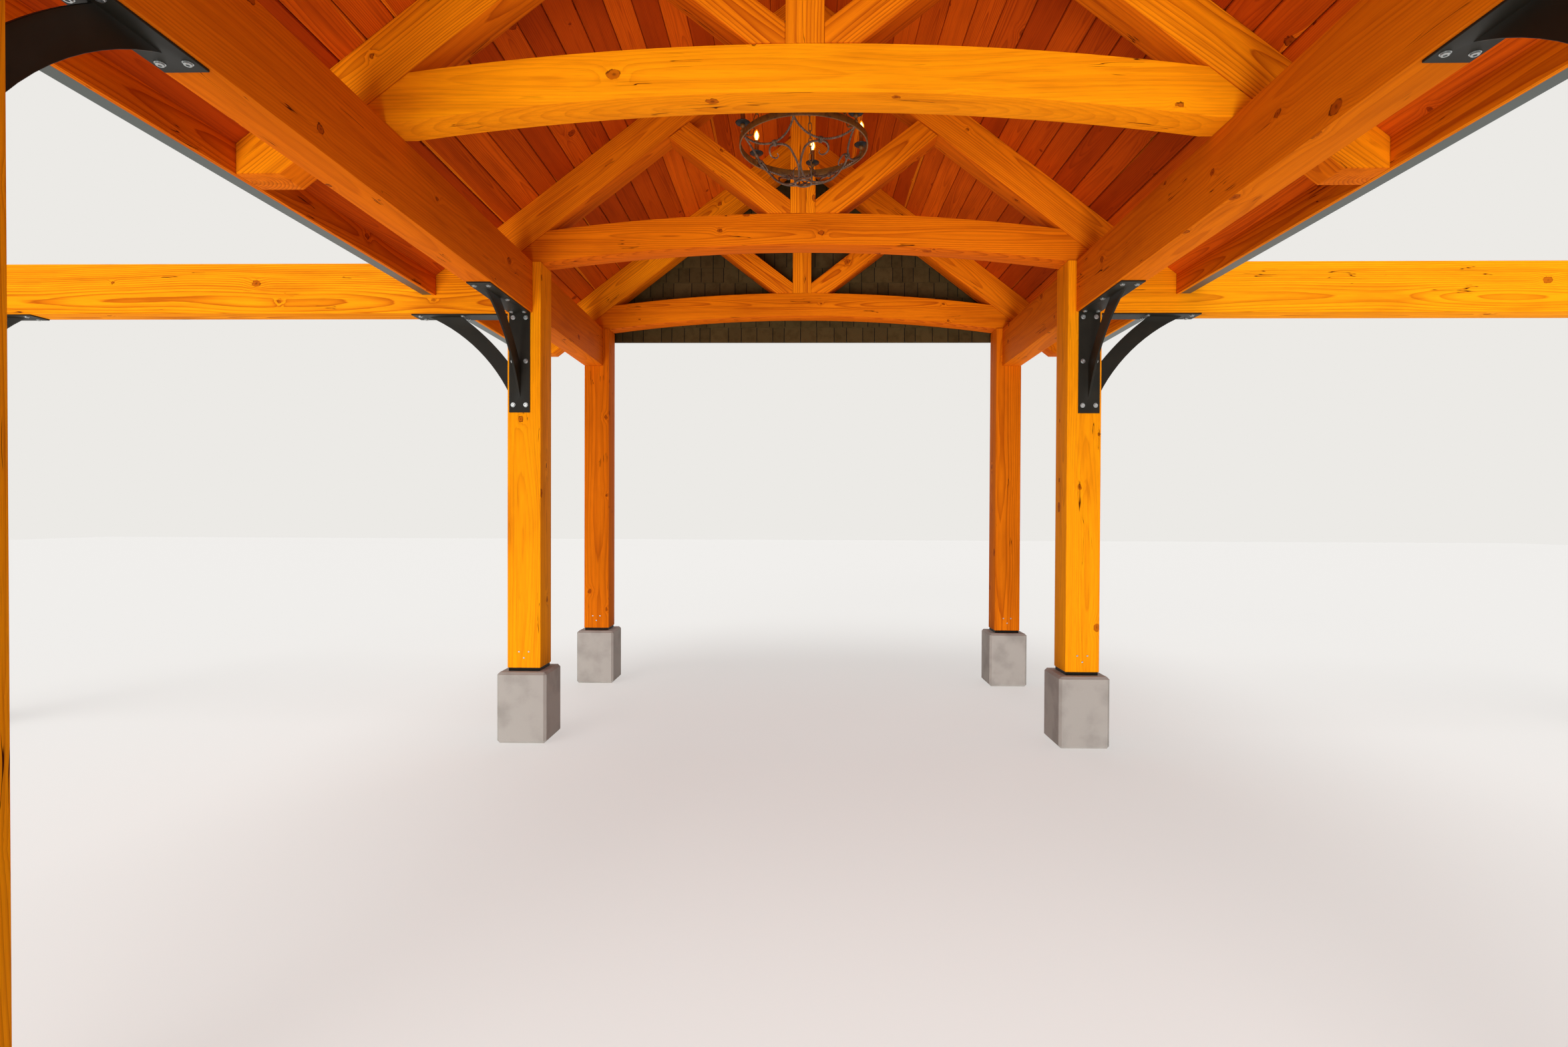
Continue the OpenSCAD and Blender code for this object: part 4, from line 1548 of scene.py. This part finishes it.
@cache
def bar_recipe() -> Recipe:
    """Sweeps a ridged profile along each line of the start mesh, twisted and as thick as its points say.

    Returns:
        The recipe.
    """
    recipe = Recipe("bars")
    tree = recipe.tree
    step, waist = recipe.ask(Kind.SIZE, "Step", "Waist")
    [ridges] = recipe.ask(Kind.COUNT, "Ridges")
    lines = add(tree, "GeometryNodeMeshToCurve", {"Mesh": recipe.start})
    even = add(tree, "GeometryNodeResampleCurve", {"Curve": lines, "Length": step}, mode="LENGTH")
    girth, twist = (
        add(tree, NAMED, {"Name": name}, data_type="FLOAT").outputs["Attribute"]
        for name in ("girth", "twist"))
    turn = add(tree, "GeometryNodeSplineParameter").outputs["Length"]
    for share in (twist, math.tau):
        turn = add(tree, MATH, (turn, share), operation="MULTIPLY")
    twisted = add(tree, "GeometryNodeSetCurveTilt", {"Curve": even, "Tilt": turn})
    profile = {"Points": ridges, "Inner Radius": waist, "Outer Radius": 1.0}
    profile = add(tree, "GeometryNodeCurveStar", profile).outputs["Curve"]
    bars = {"Curve": twisted, "Profile Curve": profile, "Scale": girth, "Fill Caps": True}
    recipe.close(add(tree, "GeometryNodeCurveToMesh", bars))
    return recipe


def smoothed(points: Sequence[Vector], steps: int) -> list[Vector]:
    """A smooth line through some points, as a Catmull-Rom curve.

    Args:
        points: The points.
        steps: Steps between each two of them.

    Returns:
        The line's points.
    """
    last = len(points) - 1
    line = []
    for i in range(last):
        a, b, c, d = points[max(i - 1, 0)], points[i], points[i + 1], points[min(i + 2, last)]
        for t in (k / steps for k in range(steps)):
            line.append(b + (c - a + (a * 2 - b * 5 + c * 4 - d + ((b - c) * 3 + d - a) * t) * t) * (t / 2))
    return line + [points[last]]


def stadium(length: float, width: float, steps: int = 8) -> list[tuple[float, float]]:
    """Points of a loop with two straight sides and two round ends, which is long along its second axis.

    Args:
        length: Its length.
        width: Its width.
        steps: Steps round each end.

    Returns:
        The points.
    """
    radius = width / 2
    straight = length / 2 - radius
    turns = [math.pi * k / steps for k in range(steps + 1)]
    return [
        (end * radius * math.cos(a), end * (straight + radius * math.sin(a)))
        for end in (1, -1) for a in turns]


@dataclass(frozen=True)
class Chain:
    """A straight chain of round-wire links, each turned a quarter from the one before.

    Attributes:
        foot: Where it starts.
        head: Where it ends.
        turn: Turn of its first link about the chain, in radians.
    """

    foot: Vector
    head: Vector
    turn: float = 0.0

    # Thickness of the wire, length and width of a link, reach of one link along the chain, and its play
    WIRE = 0.005
    LINK = 0.0481
    WIDTH = 0.023
    PITCH = 0.038
    PLAY = 0.0012

    def seats(self) -> Seats:
        """Where each of its links sits.

        Returns:
            A seat for each link.
        """
        run = self.head - self.foot
        way = run.normalized()
        count = round(run.length / self.PITCH)
        step = (run.length - 2 * self.WIRE - self.PLAY) / count
        middle = step / 2 + self.WIRE + self.PLAY / 2
        spots = [self.foot + way * (middle + k * step) for k in range(count)]
        return Seats(spots, [way] * count, [self.turn + k % 2 * math.pi / 2 for k in range(count)])


@dataclass(frozen=True)
class Fitting:
    """A turned part that stands at each candle's place on the hoop.

    Attributes:
        name: Its name.
        outline: Radius and height of each point of its outline.
        sides: Steps round its axis.
        finish: Its finish.
        slot: The material slot it is meant for.
        up: Its height above the hoop's middle.
        nodes: The frame's nodes that it stands for.
        wide: What its outline's radii are multiplied by.
        high: The same for its heights.
        lift: How much is added to its heights.
    """

    name: str
    outline: Outline
    sides: int
    finish: Finish
    slot: str
    up: float = 0.0
    nodes: tuple[str, ...] = ()
    wide: float = 1.0
    high: float = 1.0
    lift: float = 0.0

    def mesh(self) -> Mesh:
        """The part, standing at the origin."""
        outline = [(self.wide * r, self.lift + self.high * h) for r, h in self.outline]
        return turned(self.name, outline, self.sides)


@dataclass(frozen=True)
class Chandelier:
    """A wrought-iron hoop of candles over a basket of scrolls, hung on chains.

    Attributes:
        middle: The hoop's middle.
        radius: Radius of the band's middle line.
        count: Number of candles.
        first: Turn of the first candle, in degrees.
        band: Thickness and height of the hoop's band.
        soft: Radius of the band's softened edges.
        depth: Depth of the basket below the hoop's middle.
        bar: Radius of its bars.
        twist: Turns of a swag's bar in a metre.
        wire: Radius of the wire of the collars.
        wraps: Turns of wire in a collar.
        ring: Radius of the basket's lowest ring.
        hub_rise: Height of the hub above the hoop's middle.
        hub_eye: Distance of the hanging chains' heads from the hub's axis.
        hook: Distance of the hanging chains' hooks from the middle.
        hook_bar: Radius of a hook's bar.
        plate_arris: Width of the eased edges of the rose.
    """

    middle: Vector
    radius: float
    count: int = 6
    first: float = -99.0
    band: tuple[float, float] = (0.007, 0.032)
    soft: float = 0.0016
    depth: float = 0.192
    bar: float = 0.0055
    twist: float = 22.0
    wire: float = 0.0024
    wraps: int = 3
    ring: float = 0.0405
    hub_rise: float = 0.820
    hub_eye: float = 0.023
    hook: float = 0.282
    hook_bar: float = 0.004
    plate_arris: float = 0.0015

    # One scroll, from its volute past the collar to the curl at the bottom: shares of half the angle
    # between two candles, of the hoop's radius and of the basket's depth
    SCROLL = (
        (1.07, 0.61, 0.57), (1.07, 0.585, 0.61), (1.17, 0.57, 0.635), (1.33, 0.57, 0.63),
        (1.46, 0.595, 0.59), (1.5, 0.63, 0.53), (1.43, 0.66, 0.45), (1.25, 0.685, 0.4),
        (1, 0.68, 0.4), (0.63, 0.66, 0.44), (0.38, 0.62, 0.52), (0.23, 0.555, 0.66),
        (0.13, 0.48, 0.765), (0.075, 0.4, 0.84), (0.16, 0.295, 0.91), (0.8, 0.14, 0.957),
        (2, 0.165, 0.89), (2.6, 0.2, 0.765), (2.7, 0.15, 0.65),
    )
    # A swag's lowest point and the scroll's point that it is bound to, as shares of the radius and depth
    SWAG_LOW = (0.7, 0.35)
    SCROLL_LOW = (0.68, 0.4)
    # Outlines: radius and height of each point, from the bottom up. The flame's are shares of its size
    HUB = (
        (0, -0.029), (0.005, -0.0285), (0.0075, -0.024), (0.010, -0.012), (0.009, -0.008), (0.013, -0.005),
        (0.024, -0.005), (0.026, -0.002), (0.026, 0.002), (0.024, 0.005), (0.010, 0.0055), (0, 0.0055),
    )
    HOLDER = (
        (0, -0.004), (0.0055, -0.004), (0.0055, 0.010), (0.0095, 0.012), (0.0105, 0.016), (0.0095, 0.020),
        (0.0055, 0.022), (0.0055, 0.029), (0.008, 0.032), (0.0118, 0.037), (0.012, 0.0455), (0, 0.0455),
    )
    PAN = (
        (0, 0), (0.011, 0), (0.024, 0.0012), (0.033, 0.005), (0.036, 0.008), (0.037, 0.0102),
        (0.0362, 0.011), (0.0345, 0.0102), (0.031, 0.0068), (0.023, 0.0036), (0.013, 0.003), (0, 0.003),
    )
    TUBE = (
        (0, 0), (0.0125, 0), (0.0125, 0.004), (0.0115, 0.0055), (0.0115, 0.066), (0.0122, 0.068),
        (0.0122, 0.0712), (0.0100, 0.072), (0, 0.072),
    )
    FLAME = (
        (0, 0), (0.27, 0), (0.27, 0.1), (0.36, 0.17), (0.45, 0.27), (0.5, 0.40), (0.49, 0.5), (0.42, 0.65),
        (0.3, 0.78), (0.17, 0.9), (0.08, 0.97), (0, 1),
    )
    FITTINGS = (
        Fitting("holders", HOLDER, 20, IRON, "wrought_iron"),
        Fitting("drip_pans", PAN, 36, DARK_IRON, "wrought_iron", up=0.046, nodes=("chandelier_pans",)),
        Fitting("sleeves", TUBE, 24, SLEEVE, "candle_sleeve", up=0.049, nodes=("chandelier_candles",)),
        Fitting("bulbs", FLAME, 24, FLAME_GLASS, "bulb", up=0.121, nodes=("chandelier_bulbs",), wide=0.030,
                high=0.060),
        Fitting("filaments", FLAME, 16, FILAMENT, "bulb", up=0.121, wide=0.020, high=0.046, lift=0.006),
    )

    @classmethod
    def in_frame(cls) -> "Chandelier":
        """The chandelier at the place and width of the frame's own hoop.

        Returns:
            The chandelier.
        """
        low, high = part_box("chandelier_hoop")
        band_t, band_h = cls.band
        middle = Vector(((low.x + high.x) / 2, (low.y + high.y) / 2, low.z + band_h / 2))
        return cls(middle, (high.x - low.x - band_t) / 2)

    def at(self, turn: float, out: float, up: float) -> Vector:
        """A point round the hoop's middle.

        Args:
            turn: Degrees from the first candle.
            out: Distance from the axis.
            up: Height above the hoop's middle.

        Returns:
            The point.
        """
        angle = math.radians(self.first + turn)
        return self.middle + Vector((out * math.cos(angle), out * math.sin(angle), up))

    def low_at(self, turn: float, low: tuple[float, float]) -> Vector:
        """The point of the basket at a turn, by its shares of the radius and of the depth."""
        return self.at(turn, low[0] * self.radius, -low[1] * self.depth)

    def scrolls(self) -> Iterator[Line]:
        """The mirrored pairs of scrolls under every second candle.

        Yields:
            Each scroll's line.
        """
        half = 180 / self.count
        for pair in range(0, self.count, 2):
            for side in (1, -1):
                knots = [self.low_at(half * (2 * pair + side * turn), low) for turn, *low in self.SCROLL]
                yield Line.tapered(smoothed(knots, 6), self.bar, tip=0.4 * self.bar, run=0.09)

    def swags(self) -> Iterator[Line]:
        """The arcs between the candles, each lowest at a collar.

        Yields:
            Each swag's line.
        """
        steps = 32
        # Between a swag's ends and the inside of the band
        play = 0.0003
        half = 180 / self.count
        reach = self.radius - self.band[0] / 2 - self.bar - play
        for k in range(self.count):
            turn = half * (2 * k + 1)
            ends = [self.at(turn + side * half, reach, self.bar - self.band[1] / 2) for side in (-1, 1)]
            low = self.low_at(turn, self.SWAG_LOW)
            middle = (ends[0] + ends[1]) / 2
            across = (ends[1] - ends[0]) / 2
            sag = (middle - low).length
            radius = (across.length_squared + sag * sag) / (2 * sag)
            rise = (middle - low).normalized() * radius
            centre = low + rise
            bend = 2 * math.atan(sag / across.length)
            turns = [bend * (2 * i / steps - 1) for i in range(steps + 1)]
            out = across.normalized() * radius
            points = [centre - rise * math.cos(a) + out * math.sin(a) for a in turns]
            yield Line.even(points, self.bar, twist=self.twist)

    def collars(self) -> Iterator[Line]:
        """The wire wraps that bind each scroll to its swag.

        Yields:
            Each collar's line.
        """
        # Distance between two turns of the wire, and the points by which its end runs past its start
        pitch = 0.0052
        overlap = 5
        half = 180 / self.count
        for k in range(self.count):
            turn = half * (2 * k + 1)
            swag = self.low_at(turn, self.SWAG_LOW)
            scroll = self.low_at(turn, self.SCROLL_LOW)
            middle = (swag + scroll) / 2
            long = (swag - scroll).normalized()
            angle = math.radians(self.first + turn)
            along = Vector((-math.sin(angle), math.cos(angle), 0))
            wide = along.cross(long)
            girth = 2 * (self.bar + self.wire)
            loop = stadium((swag - scroll).length + girth, girth)
            points = []
            for i in range(self.wraps * len(loop) + overlap):
                x, y = loop[i % len(loop)]
                z = pitch * (i / len(loop) - self.wraps / 2)
                points.append(middle + wide * x + long * y + along * z)
            yield Line.tapered(points, self.wire, tip=0.0016, run=0.01)

    def hang_turns(self) -> list[float]:
        """Turns of the candles between the pairs of scrolls, where the chains hang, in degrees."""
        return [360 / self.count * k for k in range(1, self.count, 2)]

    def hooks(self) -> Iterator[Line]:
        """The short bars that carry the hanging chains inside the hoop.

        Yields:
            Each hook's line.
        """
        for turn in self.hang_turns():
            knots = [self.at(turn, out, up) for out, up in (
                (self.hook - 0.001, 0.007), (self.hook - 0.003, 0.002), (self.hook, 0), (self.radius, 0))]
            yield Line.even(smoothed(knots, 4), self.hook_bar)

    def chains(self) -> Iterator[Chain]:
        """The three hanging chains and the one that carries the hub.

        Yields:
            Each chain.
        """
        for turn in self.hang_turns():
            yield Chain(self.at(turn, self.hook, 0), self.at(turn, self.hub_eye, self.hub_rise),
                        math.radians(self.first + turn))
        rose_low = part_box("chandelier_rose")[0]
        foot = self.at(0, 0, self.hub_rise + 0.002)
        yield Chain(foot, Vector((foot.x, foot.y, rose_low.z + Chain.LINK - Chain.WIRE)))

    def band_mesh(self) -> Mesh:
        """The hoop's flat band with its softened edges.

        Returns:
            The band, in place.
        """
        thick, high = (size / 2 - self.soft for size in self.band)
        outline = []
        for out, up, start in ((1, -1, -90), (1, 1, 0), (-1, 1, 90), (-1, -1, 180)):
            for a in (math.radians(start + turn) for turn in (0, 45, 90)):
                outline.append((self.radius + out * thick + self.soft * math.cos(a),
                                up * high + self.soft * math.sin(a)))
        mesh = turned("band", outline, 96, closed=True)
        mesh.transform(Matrix.Translation(self.middle))
        return mesh

    def build(self) -> None:
        """Forges the basket, sets the candles and hangs it all on chains."""
        ring = Line.even([self.at(5 * k, self.ring, -self.depth) for k in range(72)], self.bar, closed=True)
        scrollwork = [*self.scrolls(), *self.swags()]
        for name, lines, kind, finish, nodes in (
            ("scrollwork", scrollwork, Bar.SQUARE, HIGHLIGHTED_IRON, ["chandelier_scrolls"]),
            ("collars", self.collars(), Bar.ROUND, HIGHLIGHTED_IRON, []),
            ("basket_ring", [ring], Bar.ROUND, HIGHLIGHTED_IRON, []),
            ("hooks", self.hooks(), Bar.ROUND, IRON, []),
        ):
            mesh = swept(f"chandelier_{name}", lines, kind, finish)
            make_piece(f"chandelier_{name}", mesh, finish, "wrought_iron", nodes, smooth=50)
        make_piece("chandelier_band", self.band_mesh(), IRON, "wrought_iron", ["chandelier_hoop"])
        for fitting in self.FITTINGS:
            name = f"chandelier_{fitting.name}"
            spots = [self.at(360 / self.count * k, self.radius, fitting.up) for k in range(self.count)]
            seats = Seats.spun(spots, [UP] * self.count, fitting.name)
            mesh = seats.set_with(name, fitting.mesh(), fitting.finish)
            make_piece(name, mesh, fitting.finish, fitting.slot, fitting.nodes)
        self.hang()

    def hang(self) -> None:
        """Hangs the hoop: chains, hub and rose."""
        wire = Chain.WIRE
        loop = [Vector((x, 0, z)) for x, z in stadium(Chain.LINK - wire, Chain.WIDTH - wire)]
        link = swept("link", [Line.even(loop, wire / 2, closed=True)], Bar.ROUND, IRON, step=0.005, ridges=3)
        runs = [(run.spots, run.ways, run.turns) for run in (chain.seats() for chain in self.chains())]
        seats = Seats(*(sum(parts, []) for parts in zip(*runs)))
        chains = seats.set_with("chandelier_chains", link, IRON)
        make_piece("chandelier_chains", chains, IRON, "wrought_iron", ["chandelier_chain"], smooth=70)
        hub = turned("hub", self.HUB, 28)
        hub.transform(Matrix.Translation(self.at(0, 0, self.hub_rise)))
        make_piece("chandelier_hub", hub, DARK_IRON, "wrought_iron")
        # The rose's plate alone, cut just above its underside: the link below it is one of the chain's
        rose = max(solids_of("chandelier_rose"), key=lambda s: max(v.co.z for v in s.verts))
        under = min(v.co.z for v in rose.verts if abs(v.co.x - self.middle.x) > Chain.WIDTH)
        kerf = 0.0002
        cut_off(rose, UP * (under + kerf), -UP)
        ease(rose, self.plate_arris)
        plate = drawn(rose, "rose")
        make_piece("chandelier_rose_plate", plate, DARK_IRON, "wrought_iron", ["chandelier_rose"])


@dataclass(frozen=True)
class Studio:
    """The camera at the photograph's viewpoint, a pale floor and plain soft light.

    Attributes:
        eye: Where the camera stands.
        yaw: Its turn to the right, in degrees.
        pitch: Its tilt up, in degrees.
        roll: Its roll, in degrees.
        focal: Focal length as a share of the picture's width.
        floor: Half the floor's width.
    """

    eye: tuple[float, float, float] = (-0.0133, -3.8214, 1.3861)
    yaw: float = -1.147
    pitch: float = -0.602
    roll: float = 0.226
    focal: float = 1152.565 / 2348
    floor: float = 40.0

    # Name, direction, strength and spread; the last two stand for the bright ground in front and below,
    # and reach the canopy through the floor, which casts no shadow
    SUNS = (
        ("key", (0.3, 1.0, -0.26), 0.5, 25),
        ("high", (0.15, 0.5, -1.0), 1.5, 40),
        ("rim", (0.0, -1.0, -0.5), 0.5, 60),
        ("forecourt", (0.10, 1.0, 0.45), 2.15, 24),
        ("ground", (0.0, 0.2, 1.0), 1.6, 60),
    )

    def camera(self) -> None:
        """Sets the camera up."""
        yaw, pitch, roll = (math.radians(a) for a in (self.yaw, self.pitch, self.roll))
        ahead = Vector((math.sin(yaw) * math.cos(pitch), math.cos(yaw) * math.cos(pitch), math.sin(pitch)))
        right = Vector((math.cos(yaw), -math.sin(yaw), 0))
        over = right.cross(ahead)
        rolled = right * math.cos(roll) + over * math.sin(roll)
        over = over * math.cos(roll) - right * math.sin(roll)
        data = bpy.data.cameras.new("camera")
        data.sensor_fit = "HORIZONTAL"
        data.sensor_width = 36
        data.lens = 36 * self.focal
        data.clip_start = 0.02
        data.clip_end = 200
        camera = bpy.data.objects.new("camera", data)
        turn = Matrix((rolled, over, -ahead)).transposed().to_4x4()
        camera.matrix_world = Matrix.Translation(self.eye) @ turn
        bpy.context.scene.collection.objects.link(camera)
        bpy.context.scene.camera = camera

    def lamps(self) -> None:
        """Sets soft suns from the front, above, behind and below."""
        for name, way, strength, spread in self.SUNS:
            sun = bpy.data.lights.new(name, "SUN")
            sun.energy = strength
            sun.angle = math.radians(spread)
            lamp = bpy.data.objects.new(name, sun)
            lamp.rotation_euler = Vector(way).to_track_quat("-Z", "Y").to_euler()
            bpy.context.scene.collection.objects.link(lamp)

    @staticmethod
    def seen(tree: Tree) -> Node:
        """Tells what is seen from what only lights the canopy.

        Args:
            tree: The floor's or the sky's tree.

        Returns:
            A node that is 1 for rays from the camera, from gloss and through glass, and 0 for the others.
        """
        ways = add(tree, "ShaderNodeLightPath").outputs
        seen = ways["Is Camera Ray"]
        for way in ("Is Glossy Ray", "Is Transmission Ray"):
            seen = add(tree, MATH, (seen, ways[way]), operation="MAXIMUM")
        return seen

    def stage(self) -> None:
        """Lays the pale floor, which is left out of the part."""
        mesh = bpy.data.meshes.new("floor")
        spots = [(x * self.floor, y * self.floor, 0) for x, y in ((-1, -1), (1, -1), (1, 1), (-1, 1))]
        mesh.from_pydata(spots, [], [(0, 1, 2, 3)])
        floor = bpy.data.objects.new("floor", mesh)
        bpy.context.scene.collection.objects.link(floor)
        material = bpy.data.materials.new("pale_floor")
        material.use_nodes = True
        tree = material.node_tree
        shader = tree.nodes["Principled BSDF"]
        seen = self.seen(tree)
        paint = {"Factor": seen, "A": linear("#c9c6c0"), "B": linear("#f7f5f2")}
        paint = add(tree, MIX, paint, data_type="RGBA")
        connect(shader, {"Base Color": paint, "Roughness": 0.9})
        # About half of what is seen is its own pale colour, so that the object's shadow stays soft and pale
        own = add(tree, "ShaderNodeEmission", {"Color": linear("#efedea"), "Strength": 1.0})
        share = add(tree, MATH, (seen, 0.55), operation="MULTIPLY")
        both = add(tree, "ShaderNodeMixShader", (share, shader, own))
        connect(tree.nodes["Material Output"], {"Surface": both})
        mesh.materials.append(material)
        floor.visible_shadow = False

    def sky(self) -> None:
        """Makes the pale sky that is seen and the soft light that comes from it."""
        world = bpy.data.worlds.new("sky")
        world.use_nodes = True
        tree = world.node_tree
        tree.nodes.clear()
        light, back = (
            add(tree, "ShaderNodeBackground", {"Color": linear(code), "Strength": strength})
            for code, strength in (("#ffffff", 0.4), ("#eceae6", 1.0)))
        mix = add(tree, "ShaderNodeMixShader", (self.seen(tree), light, back))
        add(tree, "ShaderNodeOutputWorld", {"Surface": mix})
        bpy.context.scene.world = world

    def build(self) -> None:
        """Sets up the whole studio."""
        self.camera()
        self.lamps()
        self.stage()
        self.sky()
        bpy.context.scene.view_settings.view_transform = "Standard"


def main() -> None:
    """Builds every sub-assembly in order."""
    logging.basicConfig(level=logging.INFO, format="%(message)s")
    for part in (
        Studio(), Timbers(), BoardedCeiling(), Ironwork(), Piers(), Roof(), Gable(), Gutters(),
        Chandelier.in_frame(),
    ):
        log.info("Building %s", type(part).__name__)
        part.build()


if __name__ == "__main__":
    main()
